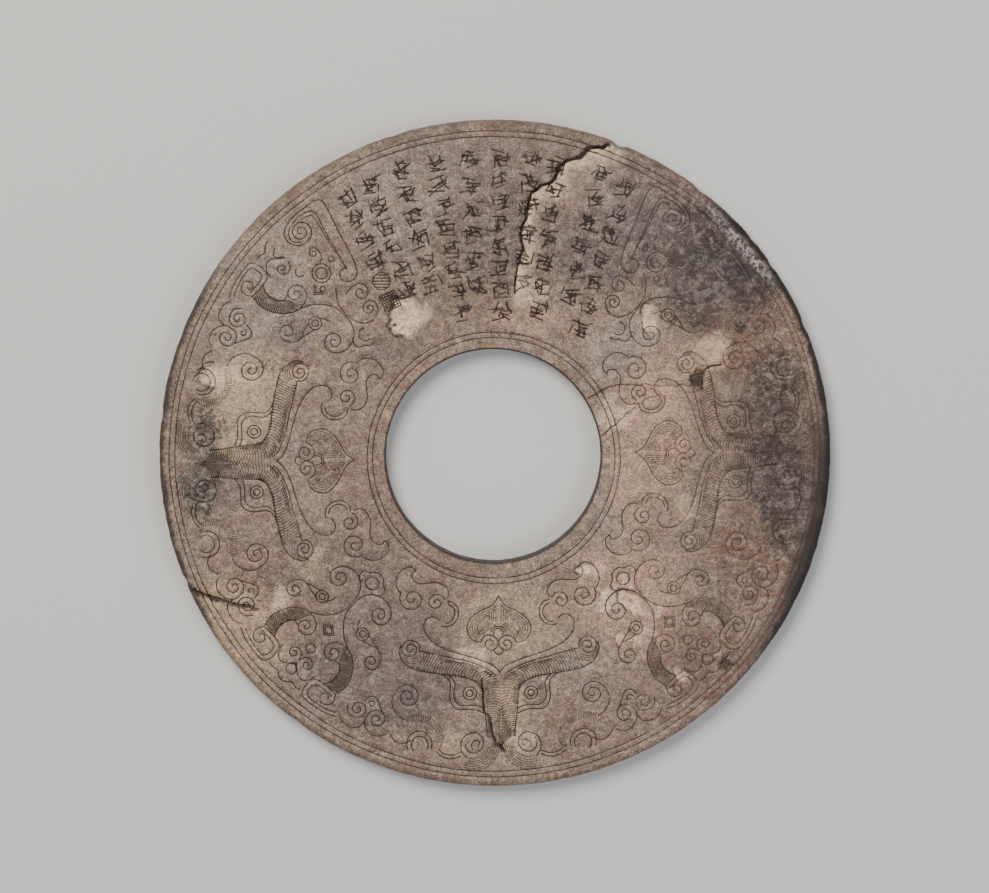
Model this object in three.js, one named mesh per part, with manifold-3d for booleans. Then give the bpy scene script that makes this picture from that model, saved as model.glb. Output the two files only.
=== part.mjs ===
// A carved jade bi: a flat ritual ring of altered nephrite, lying on its plain side, carved side up.
// Millimetres. +Z is up through the thickness, +Y points to the inscribed sector, and the origin is on
// the surface that the disc lies on, under the middle of the disc.
import * as THREE from 'three';
import { mergeVertices } from 'three/addons/utils/BufferGeometryUtils.js';
import Module from 'manifold-3d';

const wasm = await Module();
wasm.setup();

// ---- driving dimensions ----
const DISC_RADIUS = 100;
const THICKNESS = 6.5;
const HOLE_RADIUS = 31.9;
const HOLE_CENTRE = [-0.5, 0.15]; // the hole was drilled a little off the middle
const RIM_WEAR = [1.2, 1.5]; // how far the outer edge is worn back, inwards and down
const LIP_WEAR = 0.7; // the same at the hole, both ways
const DISC_SIDES = 72;
const HOLE_SIDES = 48;
const BORDER_SIDES = 45;
const COLLAR_SIDES = 36;

const BORDER_RADII = [96.7, 95.0]; // the double line inside the outer edge
const COLLAR_RADII = [37.6, 36.0]; // the double line round the hole
const COLLAR_CENTRE = [-0.3, -0.45];
const PATTERN_TURN = 1.3; // the drawing is turned a little anticlockwise on the disc, degrees

const LINE = { left: 0.28, depth: 0.34 }; // an incised line: half its width, and its depth
const DEEP_LINE = { left: 0.34, depth: 0.42 };
const PAST_FACE = 1; // how far the drill runs past each face
const MOUTH_CLEARANCE = 0.25; // how far a cutter stands proud of the face that it cuts
const CHORD_ERROR = 0.31; // how far a faceted line may stray from its curve

// ---- the engraver's curves, each a list of [x, y] ----
const distance = (a, b) => Math.hypot(a[0] - b[0], a[1] - b[1]);
const middle = (a, b) => [(a[0] + b[0]) / 2, (a[1] + b[1]) / 2];

const vector = ([x, y]) => new THREE.Vector3(x, y, 0);

// keeps only the points that a line needs to stay within CHORD_ERROR of its curve
function thinned(line) {
  if (line.length < 3) return line;
  const chord = new THREE.Line3(vector(line[0]), vector(line.at(-1)));
  const strays = line.map((point) => {
    const nearest = chord.closestPointToPoint(vector(point), true, new THREE.Vector3());
    return nearest.distanceTo(vector(point));
  });
  const worst = strays.indexOf(Math.max(...strays));
  if (strays[worst] < CHORD_ERROR) return [line[0], line.at(-1)];
  return [...thinned(line.slice(0, worst + 1)).slice(0, -1), ...thinned(line.slice(worst))];
}

function smooth(...points) {
  const curve = new THREE.CatmullRomCurve3(points.map(vector), false, 'centripetal');
  return curve.getPoints(points.length * 8).map((p) => [p.x, p.y]);
}

// turns is above zero anticlockwise, and the spiral runs from radius outer at the bearing start
function spiral([x, y], outer, inner, start, turns) {
  const steps = Math.max(6, Math.ceil(Math.abs(turns) * 36));
  return Array.from({ length: steps + 1 }, (_, i) => {
    const part = i / steps;
    const bearing = THREE.MathUtils.degToRad(start + 360 * turns * part);
    const radius = outer + (inner - outer) * part;
    return [x + radius * Math.cos(bearing), y + radius * Math.sin(bearing)];
  });
}

// a line through the points that winds into a curl about the centre
function crook(points, centre, turns, inner = 0.8) {
  const [x, y] = points[points.length - 1];
  const bearing = THREE.MathUtils.radToDeg(Math.atan2(y - centre[1], x - centre[0]));
  const curl = spiral(centre, distance([x, y], centre), inner, bearing, turns);
  return smooth(...points, curl[4]).slice(0, -8).concat(curl.slice(1));
}

function ring(centre, radius, sides) {
  return Array.from({ length: sides }, (_, i) => {
    const bearing = (2 * Math.PI * i) / sides;
    return [centre[0] + radius * Math.cos(bearing), centre[1] + radius * Math.sin(bearing)];
  });
}

const mirrored = (line) => line.map(([x, y]) => [-x, y]);

function turned(line, degrees) {
  const a = THREE.MathUtils.degToRad(degrees);
  return line.map(([x, y]) => [x * Math.cos(a) - y * Math.sin(a), x * Math.sin(a) + y * Math.cos(a)]);
}

// ---- the motifs, drawn with the rim downwards: the right half of each ----
function maskBrow() {
  return [
    crook([[0.4, -64.6], [1.7, -63.1], [4, -61.8], [8, -60.5], [12, -59.3], [16, -57.9], [19.6, -55.8],
      [21.8, -53.2], [22.4, -50.8]], [19.4, -50.4], 0.36, 2.4),
    smooth([17.1, -50.7], [16, -51], [14, -50.5], [12.5, -48.9], [12, -46.9], [12.4, -44.9],
      [13.6, -43.6], [15.3, -43.2]),
  ];
}

function cloud() {
  return [
    smooth([24.2, -33.6], [25.4, -34.3], [25.3, -35.9], [24.2, -37.2], [22.4, -37.7], [20.4, -37.5],
      [18.6, -37.4], [16.6, -38], [15.2, -39.3], [14.7, -40.8], [15.2, -42.3]),
    smooth([24.2, -33.6], [25.2, -32.6], [26.8, -32.4], [28.7, -33.4], [30, -35.4], [30.2, -38],
      [29.2, -40.1]),
    crook([[28.6, -40], [29.2, -41.7], [28.7, -43.8]], [25.5, -42.2], -0.95),
    crook([[15.9, -42.7], [17, -41.5]], [18.6, -43.6], -0.85),
  ];
}

function horn() {
  return [
    smooth([1.2, -66.1], [3, -64.4], [6, -62.9], [10, -61.5], [14, -60.7], [18, -59.6], [21.5, -58.7],
      [23.8, -58.2]),
    crook([[24, -58], [23.8, -56.6], [24.7, -55.3], [26.6, -54.6]], [26.4, -57.4], -0.9),
    smooth([4.3, -84.4], [4.4, -81], [4.8, -77.5], [5.1, -73.5], [5.3, -70.8], [6.4, -68.6], [8.2, -67.3],
      [11, -66.3], [15, -65.8], [19, -65.2], [23, -64.4], [26.4, -63.2], [28.8, -61], [29.8, -58.4],
      [29.4, -56.4]),
  ];
}

const eye = () => [spiral([9.2, -71.2], 1.9, 1.9, 90, 0.97)];

function cheek() {
  return [crook([[29, -78.7], [31, -77.3], [32.2, -75], [32.3, -72.6], [31, -70.1]], [27.6, -71.8], 1.05)];
}

function leaf() {
  return [smooth([0, -41.7], [1, -43.4], [2.4, -44.8], [4.8, -46], [7.2, -47.5], [8.9, -49.4], [9.5, -51.4],
    [9, -53.6], [7.6, -55.3], [5.6, -55.8])];
}

function cornerScroll() {
  return [
    crook([[7.4, -71.8], [4.8, -70.4], [2.2, -67.8], [0.7, -64.8], [0.45, -61.6], [0.9, -57.9], [2.4, -55.2],
      [5.2, -53.9], [8.2, -54.1], [10.4, -55.6], [11.3, -57.8]], [8.2, -58.2], -0.85),
    spiral([8.2, -66], 1.8, 1.8, 60, 0.97),
    crook([[10.4, -67.2], [13.5, -66.3], [15.6, -66], [17.4, -67.3], [18.3, -69.4]], [15.7, -70], -0.75),
  ];
}

function cornerCrest() {
  return [
    crook([[14.9, -84.2], [15.3, -80.8], [14.2, -77.2], [12.2, -74.3], [9.4, -72.5], [6.6, -72.3],
      [4.2, -73.2], [3, -74.9]], [5.7, -76.1], 0.8),
    smooth([14.6, -84.9], [10.4, -84.9], [7.6, -85.6], [6.7, -87.6], [6.8, -90.2], [8, -92.1], [10.4, -92.3],
      [14.5, -91.7], [19.2, -89.9]),
  ];
}

function cornerSide() {
  return [crook([[34.4, -83.2], [33.2, -85.2], [31, -86.3], [28.4, -85.9], [26.5, -84.2], [26.2, -81.6]],
    [29.2, -81.9], -0.7)];
}

// the hooked bar that frames the inscribed sector; lean widens it towards the rim
function inscriptionFrame(lean) {
  const bar = (points) => points.map(([x, y]) => [x + lean * (-70 - y), y]);
  return [
    smooth(...bar([[7.2, -69.4], [7.6, -67.9], [9.4, -67], [11.6, -67.3], [13, -69], [14.6, -74], [16.8, -81],
      [19.4, -88.3], [18.6, -90.9], [15, -91.8], [10, -92.5], [5.4, -91.5], [4, -89.3], [4.6, -86.3],
      [7, -84.4], [9.8, -84.3], [11.4, -86]])),
    smooth(...bar([[10.4, -70.5], [13.4, -80.5], [16, -89.4]])),
  ];
}

const maskHalf = () => [maskBrow(), cloud(), horn(), eye(), cheek(), leaf()].flat();
// the clouds and crescents of a corner are those of the masks on each side of it
const cornerHalf = () => [cornerScroll(), cornerCrest(), cornerSide()].flat();

function drawing() {
  const placed = (lines, bearing, flip) => lines.map((line) => {
    const side = flip ? mirrored(line) : line;
    return turned(side, bearing + 90 + PATTERN_TURN);
  });
  const lines = [];
  for (const bearing of [180, 270, 0]) {
    for (const flip of [false, true]) lines.push(...placed(maskHalf(), bearing, flip));
  }
  for (const bearing of [225, 315]) {
    for (const flip of [false, true]) lines.push(...placed(cornerHalf(), bearing, flip));
  }
  lines.push(...placed(cornerHalf(), 135, false), ...placed(inscriptionFrame(0), 135, true));
  lines.push(...placed(cornerHalf(), 45, true), ...placed(inscriptionFrame(0.12), 45, false));
  return lines;
}

// ---- solids ----
function solid(geometry) {
  geometry.deleteAttribute('normal');
  geometry.deleteAttribute('uv');
  const merged = mergeVertices(geometry, 1e-4);
  const index = merged.getIndex().array;
  const triangles = [];
  for (let i = 0; i < index.length; i += 3) {
    const [a, b, c] = index.subarray(i, i + 3);
    if (a !== b && b !== c && c !== a) triangles.push(a, b, c);
  }
  return new wasm.Manifold(new wasm.Mesh({
    numProp: 3,
    vertProperties: new Float32Array(merged.getAttribute('position').array),
    triVerts: new Uint32Array(triangles),
  }));
}

function revolved(profile, sides, [x, y] = [0, 0]) {
  const points = profile.map(([radius, z]) => new THREE.Vector2(radius, z));
  return solid(new THREE.LatheGeometry(points, sides).rotateX(Math.PI / 2).translate(x, y, 0));
}

// A V-shaped cutter along a line, running out to a point at each end unless the line is closed.
// left and right are the half widths at the face, and each may be a function of the part of the way along.
function furrow(path, { left, right = left, depth, closed = false }) {
  const line = path.length > 2 ? path : [path[0], middle(...path), path[1]];
  const along = (value, part) => (typeof value === 'function' ? value(part) : value);
  const count = line.length;
  const vertices = [];
  const triangles = [];
  const sections = line.map((point, i) => {
    const isTip = !closed && (i === 0 || i === count - 1);
    const before = line[(i + count - 1) % count];
    const after = line[(i + 1) % count];
    if (isTip) {
      vertices.push([...point, MOUTH_CLEARANCE]);
      return Array(3).fill(vertices.length - 1);
    }
    const into = new THREE.Vector2(point[0] - before[0], point[1] - before[1]).normalize();
    const out = new THREE.Vector2(after[0] - point[0], after[1] - point[1]).normalize();
    const way = into.clone().add(out).normalize();
    const mitre = 1 / Math.max(0.75, into.dot(way));
    const part = i / (count - 1);
    const deep = along(depth, part);
    const mouth = mitre * (1 + MOUTH_CLEARANCE / deep);
    const l = along(left, part) * mouth;
    const r = along(right, part) * mouth;
    vertices.push([point[0] - way.y * l, point[1] + way.x * l, MOUTH_CLEARANCE]);
    vertices.push([...point, -deep]);
    vertices.push([point[0] + way.y * r, point[1] - way.x * r, MOUTH_CLEARANCE]);
    return [vertices.length - 3, vertices.length - 2, vertices.length - 1];
  });
  const face = (a, b, c) => {
    if (a !== b && b !== c && c !== a) triangles.push(a, b, c);
  };
  const spans = closed ? count : count - 1;
  for (let i = 0; i < spans; i += 1) {
    const [l, b, r] = sections[i];
    const [nextL, nextB, nextR] = sections[(i + 1) % count];
    face(l, nextB, b);
    face(l, nextL, nextB);
    face(r, b, nextB);
    face(r, nextB, nextR);
    face(l, r, nextR);
    face(l, nextR, nextL);
  }
  return new wasm.Manifold(new wasm.Mesh({
    numProp: 3,
    vertProperties: new Float32Array(vertices.flatMap(([x, y, z]) => [x, y, THICKNESS + z])),
    triVerts: new Uint32Array(triangles),
  }));
}

// a shell-shaped scar in the carved face: radii are along its length, across it and down
function scar([x, y], radii, turn) {
  const pebble = new THREE.IcosahedronGeometry(1, 1);
  pebble.scale(...radii).rotateZ(THREE.MathUtils.degToRad(turn)).translate(x, y, THICKNESS);
  return solid(pebble);
}

function blank() {
  const worn = DISC_RADIUS - RIM_WEAR[0];
  const disc = revolved([[0, 0], [worn, 0], [DISC_RADIUS, RIM_WEAR[1]],
    [DISC_RADIUS, THICKNESS - RIM_WEAR[1]], [worn, THICKNESS], [0, THICKNESS]], DISC_SIDES);
  const flare = HOLE_RADIUS + LIP_WEAR + PAST_FACE;
  const drill = revolved([[0, -PAST_FACE], [flare, -PAST_FACE], [HOLE_RADIUS, LIP_WEAR],
    [HOLE_RADIUS, THICKNESS - LIP_WEAR], [flare, THICKNESS + PAST_FACE], [0, THICKNESS + PAST_FACE]],
  HOLE_SIDES, HOLE_CENTRE);
  return disc.subtract(drill);
}

function borders() {
  const loop = (centre, radius, sides) => furrow(ring(centre, radius, sides), { ...LINE, closed: true });
  return [
    ...BORDER_RADII.map((radius) => loop([0, 0], radius, BORDER_SIDES)),
    ...COLLAR_RADII.map((radius) => loop(COLLAR_CENTRE, radius, COLLAR_SIDES)),
  ];
}

function fissures() {
  // the long step runs inwards from the rim, steep towards -X and sloping up again towards +X
  const step = [[36, 95], [34.5, 92], [31, 90.5], [28, 90], [24, 88], [20, 87], [18.7, 84], [18, 81.5],
    [14, 80], [11, 77.5], [10, 75], [9.7, 70], [8.5, 68], [8, 63], [7.3, 59], [6, 55], [5.5, 50], [6, 45]];
  return [
    furrow(step, { left: (part) => 3.2 - 2.9 * part, right: 0.3, depth: (part) => 1.1 - 0.8 * part }),
    // the wedge that splits the rim at the lower left
    furrow([[-92.3, -39.3], [-90.3, -40.4], [-85.9, -42.8], [-79.9, -44.6], [-74, -44.9], [-71, -45.6]],
      { left: (part) => 0.9 - 0.6 * part, depth: (part) => 2.2 - 1.4 * part }),
    // two fine cracks that start at the hole
    furrow([[27, 16.9], [30.9, 19.8], [37.1, 21.6], [44.8, 21.6], [52, 21.4], [58.8, 21.7]],
      { left: 0.3, depth: 0.6 }),
    furrow([[31.6, 5.8], [32.6, 6.8], [37.9, 11.7], [42, 15.2], [44.8, 17.3], [49, 18.4]],
      { left: 0.3, depth: 0.6 }),
    // the crack along the lower mask's trunk
    furrow([[-3.7, -68], [-3.5, -73], [-3, -76.5], [-1.3, -79], [-0.7, -83], [0.5, -86], [3, -88.5]],
      { left: 0.5, depth: 0.9 }),
  ];
}

function scars() {
  const onFace = [
    scar([-25, 42], [6, 3.4, 0.7], 60),
    scar([46, 40], [7, 4, 0.6], 20),
    scar([60.5, 25.5], [3, 2, 1.1], 40),
  ];
  const onRim = [
    scar([35.5, 94.5], [3.2, 2.2, 1.6], 70),
    scar([70, 70.5], [12, 2.2, 1], 135),
    scar([85.5, 51], [8, 2, 0.8], 121),
  ];
  return [...onFace, ...onRim];
}

const cuts = [
  ...drawing().map((line) => furrow(thinned(line), DEEP_LINE)),
  ...borders(),
  ...fissures(),
  ...scars(),
];
const carved = blank().subtract(cuts.reduce((all, cut) => all.add(cut))).getMesh();

const geometry = new THREE.BufferGeometry();
geometry.setAttribute('position', new THREE.BufferAttribute(carved.vertProperties, 3));
geometry.setIndex(new THREE.BufferAttribute(carved.triVerts, 1));

const alteredJade = new THREE.MeshStandardMaterial({ color: 0x96867c, roughness: 0.5, metalness: 0 });
const jadeDisc = new THREE.Mesh(geometry, alteredJade);
jadeDisc.name = 'jade_disc';

const part = new THREE.Group();
part.add(jadeDisc);

export default part;
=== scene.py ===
# %% [markdown]
# # A carved jade bi
# A bi is a flat ring of nephrite. This one is about 200 mm across, engraved with thin lines on one face,
# long buried, stained brown and split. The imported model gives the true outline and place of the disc, and
# this notebook makes the fine surface that stands for it.

# %% The frame
import math
import random
import bmesh
import bpy
import numpy as np
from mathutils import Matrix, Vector, geometry, kdtree, noise


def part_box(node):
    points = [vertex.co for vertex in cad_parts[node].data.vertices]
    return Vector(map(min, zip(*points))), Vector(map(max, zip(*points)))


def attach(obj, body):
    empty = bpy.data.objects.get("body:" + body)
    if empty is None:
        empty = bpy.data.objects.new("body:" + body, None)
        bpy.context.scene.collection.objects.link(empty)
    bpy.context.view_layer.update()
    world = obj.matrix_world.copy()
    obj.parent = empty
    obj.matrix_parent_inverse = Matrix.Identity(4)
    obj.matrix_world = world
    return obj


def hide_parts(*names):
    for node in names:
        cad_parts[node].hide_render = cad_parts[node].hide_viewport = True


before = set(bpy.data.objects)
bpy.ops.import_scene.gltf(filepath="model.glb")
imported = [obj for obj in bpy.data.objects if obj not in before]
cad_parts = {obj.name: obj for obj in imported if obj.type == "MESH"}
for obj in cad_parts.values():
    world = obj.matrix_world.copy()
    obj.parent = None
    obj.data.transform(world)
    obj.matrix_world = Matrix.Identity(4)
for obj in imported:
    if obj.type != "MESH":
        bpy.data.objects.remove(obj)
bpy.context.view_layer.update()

NODE = "jade_disc"
low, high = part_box(NODE)
MM = 0.001
DISC_RADIUS = (high[0] - low[0]) / 2 / MM
THICKNESS = (high[2] - low[2]) / MM
HOLE_RADIUS = 31.9
HOLE_CENTRE = (-0.5, 0.15)
PATTERN_TURN = 1.3
# the noise vectors start from the clock unless they are given a seed
noise.seed_set(11)
print(f"disc {2 * DISC_RADIUS:.1f} mm across, {THICKNESS:.1f} mm thick")

# %% [markdown]
# ## The engraver's hand
# Every line on the face is one of a few moves of the tool: a smooth sweep through some points, a ring, a
# spiral, or a sweep that winds into a curl. Writing these moves as functions keeps the drawing short, and
# each motif can then be mirrored and turned as the carver did. Lines are lists of (x, y) in millimetres.

# %% The moves of the tool
def smooth(*points, step=0.55):
    """A Catmull-Rom sweep through the points, sampled every step millimetres."""
    p = [Vector(q).to_2d() for q in points]
    p = [2 * p[0] - p[1]] + p + [2 * p[-1] - p[-2]]
    line = []
    for a, b, c, d in zip(p, p[1:], p[2:], p[3:]):
        count = max(1, round((c - b).length / step))
        for i in range(count):
            t = i / count
            line.append(0.5 * (2 * b + (c - a) * t + (2 * a - 5 * b + 4 * c - d) * t ** 2
                               + (3 * b - a - 3 * c + d) * t ** 3))
    return [tuple(q) for q in line + [p[-2]]]


def straight(*points, step=0.6):
    """Straight cuts from point to point."""
    line = []
    for a, b in zip(points, points[1:]):
        count = max(1, round(math.dist(a, b) / step))
        line += [(a[0] + (b[0] - a[0]) * i / count, a[1] + (b[1] - a[1]) * i / count) for i in range(count)]
    return line + [tuple(points[-1])]


def spiral(centre, outer, inner, start, turns, step=0.5):
    """From radius outer at the bearing start; turns is above zero anticlockwise."""
    count = max(6, round(math.pi * abs(turns) * (outer + inner) / step))
    line = []
    for i in range(count + 1):
        part = i / count
        if outer > inner:  # the pitch is even, so equal steps of length are uneven steps of angle
            part = (outer - math.sqrt(outer ** 2 - (outer ** 2 - inner ** 2) * part)) / (outer - inner)
        radius = outer + (inner - outer) * part
        angle = math.radians(start + 360 * turns * part)
        line.append((centre[0] + radius * math.cos(angle), centre[1] + radius * math.sin(angle)))
    return line


def ring(centre, radius, step=0.5):
    return spiral(centre, radius, radius, 90, 1, step)


def crook(points, centre, turns, inner=0.45):
    """A sweep through the points that winds into a curl about the centre."""
    end = points[-1]
    start = math.degrees(math.atan2(end[1] - centre[1], end[0] - centre[0]))
    curl = spiral(centre, math.dist(end, centre), inner, start, turns)
    joined = smooth(*points, curl[3])
    cut = min(range(len(joined)), key=lambda i: math.dist(joined[i], end))
    return joined[:cut] + curl


def mirrored(line):
    return [(-x, y) for x, y in line]


def turned(line, degrees):
    c, s = math.cos(math.radians(degrees)), math.sin(math.radians(degrees))
    return [(x * c - y * s, x * s + y * c) for x, y in line]


def between(first, second, parts):
    """Lines that lie between two others, each a part of the way across."""
    count = max(len(first), len(second))
    a, b = resampled(first, count), resampled(second, count)
    return [[(p[0] + (q[0] - p[0]) * k, p[1] + (q[1] - p[1]) * k) for p, q in zip(a, b)] for k in parts]


def resampled(line, count):
    points = np.array(line)
    along = np.r_[0, np.cumsum(np.linalg.norm(np.diff(points, axis=0), axis=1))]
    at = np.linspace(0, along[-1], count)
    return list(zip(np.interp(at, along, points[:, 0]).tolist(), np.interp(at, along, points[:, 1]).tolist()))


print(f"a curl of two turns is a line of {len(spiral((0, 0), 3, 0.5, 0, 2))} points")

# %% [markdown]
# ## Node trees
# Node trees make the rows of cuts, the signs, the engraving and the stone. One function adds any node: its
# inputs are given in order or by name, as values or as the nodes that feed them, and a node given as an input
# stands for its first output.

# %% One function for every node
def add(tree, kind, inputs=(), **settings):
    """Adds a node, sets its properties, and sets or links its inputs, in order or by name."""
    node = tree.nodes.new(kind)
    for name, value in settings.items():
        setattr(node, name, value)
    for key, value in (inputs if isinstance(inputs, dict) else dict(enumerate(inputs))).items():
        if isinstance(value, bpy.types.Node):
            value = value.outputs[0]
        if isinstance(value, bpy.types.NodeSocket):
            tree.links.new(value, node.inputs[key])
        else:
            node.inputs[key].default_value = value
    return node


# %% How every geometry tree starts, ends and runs
def new_tree(name, sockets):
    """A geometry node group with its inputs, given as {name: (socket type, default)}."""
    tree = bpy.data.node_groups.new(name, "GeometryNodeTree")
    for way in ("INPUT", "OUTPUT"):
        tree.interface.new_socket("Geometry", in_out=way, socket_type="NodeSocketGeometry")
    for label, (kind, default) in sockets.items():
        socket = tree.interface.new_socket(label, in_out="INPUT", socket_type=kind)
        if default is not None:
            socket.default_value = default
    return tree, add(tree, "NodeGroupInput").outputs


def finish_tree(tree, geometry_node, material):
    """Every tree ends the same way: real geometry, with its material set."""
    real = add(tree, "GeometryNodeRealizeInstances", {"Geometry": geometry_node})
    dressed = add(tree, "GeometryNodeSetMaterial", {"Geometry": real, "Material": material})
    add(tree, "NodeGroupOutput", [dressed])
    print(f"the tree {tree.name} has {len(tree.nodes)} nodes")


def evaluated(name, tree, values, mesh=None):
    """Runs a tree on a mesh with the given inputs and returns the result as a plain mesh."""
    holder = bpy.data.objects.new(name, mesh or bpy.data.meshes.new(name))
    bpy.context.scene.collection.objects.link(holder)
    modifier = holder.modifiers.new(name, "NODES")
    modifier.node_group = tree
    for item in tree.interface.items_tree:
        if item.name in values:
            modifier[item.identifier] = values[item.name]
    depsgraph = bpy.context.evaluated_depsgraph_get()
    result = bpy.data.meshes.new_from_object(holder.evaluated_get(depsgraph))
    holder.modifiers.remove(modifier)
    bpy.data.objects.remove(holder)
    return result


jade = bpy.data.materials.new("altered nephrite, engraved and stained")

# %% [markdown]
# ## Hatching
# The feathered horns, trunks, crests and plumes are rows of short bowed cuts from one outline to the other.
# A Geometry Nodes tree makes such a row: it samples both outlines at even parts of their length and bends a
# short line between each pair of samples. Only its two rails, the count, the lean and the bow change.

# %% The hatching tree: a line of points for each cut, with its part of the row and of its own length
CUT_POINTS = 7

hatching, given = new_tree("Hatching", {
    "Rail": ("NodeSocketObject", None), "Other rail": ("NodeSocketObject", None),
    "Count": ("NodeSocketInt", 20), "Lean": ("NodeSocketFloat", 0.0), "Bow": ("NodeSocketFloat", 0.1),
    "End bow": ("NodeSocketFloat", 0.1)})


def kept_on_points(shape, label, value):
    """Keeps a value on the points of a shape, so that it outlives the step from instances to points."""
    keep = add(hatching, "GeometryNodeCaptureAttribute")
    keep.capture_items.new("FLOAT", label)
    hatching.links.new(shape.outputs[0], keep.inputs["Geometry"])
    hatching.links.new(value.outputs[0], keep.inputs[label])
    return keep.outputs["Geometry"], keep.outputs[label]


index = add(hatching, "GeometryNodeInputIndex")
middle = add(hatching, "ShaderNodeMath", [index, 0.5], operation="ADD")
row_part = add(hatching, "ShaderNodeMath", [middle, given["Count"]], operation="DIVIDE")
starts = add(hatching, "GeometryNodeMeshLine", {"Count": given["Count"], "Offset": (0, 0, 0)})
starts, row = kept_on_points(starts, "row", row_part)
place = add(hatching, "GeometryNodeInputPosition")
cut_x = add(hatching, "ShaderNodeSeparateXYZ", [place])
cut = add(hatching, "GeometryNodeMeshLine", {"Count": CUT_POINTS, "Offset": (1 / (CUT_POINTS - 1), 0, 0)})
cut, along = kept_on_points(cut, "along", cut_x)
cuts = add(hatching, "GeometryNodeInstanceOnPoints", {"Points": starts, "Instance": cut})
loose = add(hatching, "GeometryNodeRealizeInstances", {"Geometry": cuts})


# %% The hatching tree: each cut goes from rail to rail, with a bow that may change along the row
def rail_position(label, part):
    shape = add(hatching, "GeometryNodeObjectInfo", {"Object": given[label]}).outputs["Geometry"]
    curve = add(hatching, "GeometryNodeMeshToCurve", {"Mesh": shape})
    return add(hatching, "GeometryNodeSampleCurve", {"Curves": curve, "Factor": part},
               mode="FACTOR").outputs["Position"]


near = rail_position("Rail", row)
far = rail_position("Other rail", add(hatching, "ShaderNodeMath", [row, given["Lean"]], operation="ADD"))
run = add(hatching, "ShaderNodeVectorMath", [far, near], operation="SUBTRACT")
aside = add(hatching, "ShaderNodeVectorMath", [run, (0, 0, 1)], operation="CROSS_PRODUCT")
change = add(hatching, "ShaderNodeMath", [given["End bow"], given["Bow"]], operation="SUBTRACT")
towards_end = add(hatching, "ShaderNodeMath", [row, 3], operation="POWER")
change_here = add(hatching, "ShaderNodeMath", [change, towards_end], operation="MULTIPLY")
bow_here = add(hatching, "ShaderNodeMath", [given["Bow"], change_here], operation="ADD")
rest = add(hatching, "ShaderNodeMath", [1, along], operation="SUBTRACT")
belly = add(hatching, "ShaderNodeMath", [along, rest], operation="MULTIPLY")
belly_here = add(hatching, "ShaderNodeMath", [belly, bow_here], operation="MULTIPLY")
forwards = add(hatching, "ShaderNodeVectorMath", {0: run, "Scale": along}, operation="SCALE")
sideways = add(hatching, "ShaderNodeVectorMath", {0: aside, "Scale": belly_here}, operation="SCALE")
straight_part = add(hatching, "ShaderNodeVectorMath", [near, forwards], operation="ADD")
bowed = add(hatching, "ShaderNodeVectorMath", [straight_part, sideways], operation="ADD")
laid = add(hatching, "GeometryNodeSetPosition", {"Geometry": loose, "Position": bowed})
finish_tree(hatching, laid, jade)


# %% A rail is a line as an object; a row of cuts comes back as lines
def edges_object(name, lines):
    mesh = bpy.data.meshes.new(name)
    vertices = [(*point, 0) for line in lines for point in line]
    edges, first = [], 0
    for line in lines:
        edges += [(first + i, first + i + 1) for i in range(len(line) - 1)]
        first += len(line)
    mesh.from_pydata(vertices, edges, [])
    obj = bpy.data.objects.new(name, mesh)
    bpy.context.scene.collection.objects.link(obj)
    return obj


def lines_of(mesh, points_each):
    flat = [tuple(v.co.to_2d()) for v in mesh.vertices]
    return [flat[i:i + points_each] for i in range(0, len(flat), points_each)]


def hatch(rail, other, count, lean=0.0, bow=0.0, end_bow=None):
    """A row of cuts between two lines, as a list of lines."""
    rails = [edges_object("rail", [rail]), edges_object("other rail", [other])]
    mesh = evaluated("hatching", hatching, {
        "Rail": rails[0], "Other rail": rails[1], "Count": count, "Lean": lean, "Bow": bow,
        "End bow": bow if end_bow is None else end_bow})
    for obj in rails:
        bpy.data.objects.remove(obj)
    return lines_of(mesh, CUT_POINTS)


# %% [markdown]
# ## The horned mask
# Three masks look out from the ring. Each is symmetric, so only its right half is drawn, with the rim
# downwards and the middle of the disc at (0, 0). A brow forks from the trunk, a feathered horn rises beside
# it, a leaf with nested veins stands between the brows, and eyes, lids, curls and a plume fill the cheeks.

# %% The leaf between the brows
def leaf():
    rim = smooth((0, -41.7), (1.0, -43.4), (2.4, -44.8), (4.8, -46.0), (7.2, -47.5), (8.9, -49.4),
                 (9.5, -51.4), (9.0, -53.6), (7.6, -55.3), (5.3, -55.7), (5.0, -54.9))
    outer = [(0.8, -49.6), (0.8, -44.7), (2.6, -45.9), (4.9, -47.0), (6.9, -48.3), (8.2, -50.0), (8.6, -51.8),
             (8.0, -53.6), (6.6, -54.9), (5.6, -54.5)]
    inner = [(2.9, -48.9), (2.9, -48.0), (3.6, -48.5), (4.4, -49.1), (5.2, -49.8), (5.8, -50.7), (6.0, -51.4),
             (6.0, -52.2), (5.7, -52.6), (5.2, -52.2)]
    veins = []
    for step in range(4):
        part = step / 3.4
        turn = [(a[0] + (b[0] - a[0]) * part, a[1] + (b[1] - a[1]) * part) for a, b in zip(outer, inner)]
        veins.append(straight(*turn[:2])[:-1] + smooth(*turn[1:]))
    upper = smooth((1.8, -50.1), (3.6, -50.9), (5.2, -52.3), (6.0, -53.6))
    lower = smooth((0.7, -50.6), (2.4, -51.6), (3.9, -52.8), (4.8, -54.2))
    foot = [spiral((2.4, -56.3), 2.9, 0.5, 20, 1.7), spiral((0, -53.3), 2.3, 2.3, 90, -0.2),
            spiral((0, -53.0), 1.4, 1.4, 90, -0.3), spiral((0, -58.2), 1.3, 1.3, -90, 0.3)]
    return [rim, *foot], [*veins, upper, *between(upper, lower, [0.5]), lower]


leaf_lines, leaf_veins = leaf()
print(f"leaf: {len(leaf_lines)} lines and {len(leaf_veins)} veins")

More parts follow.
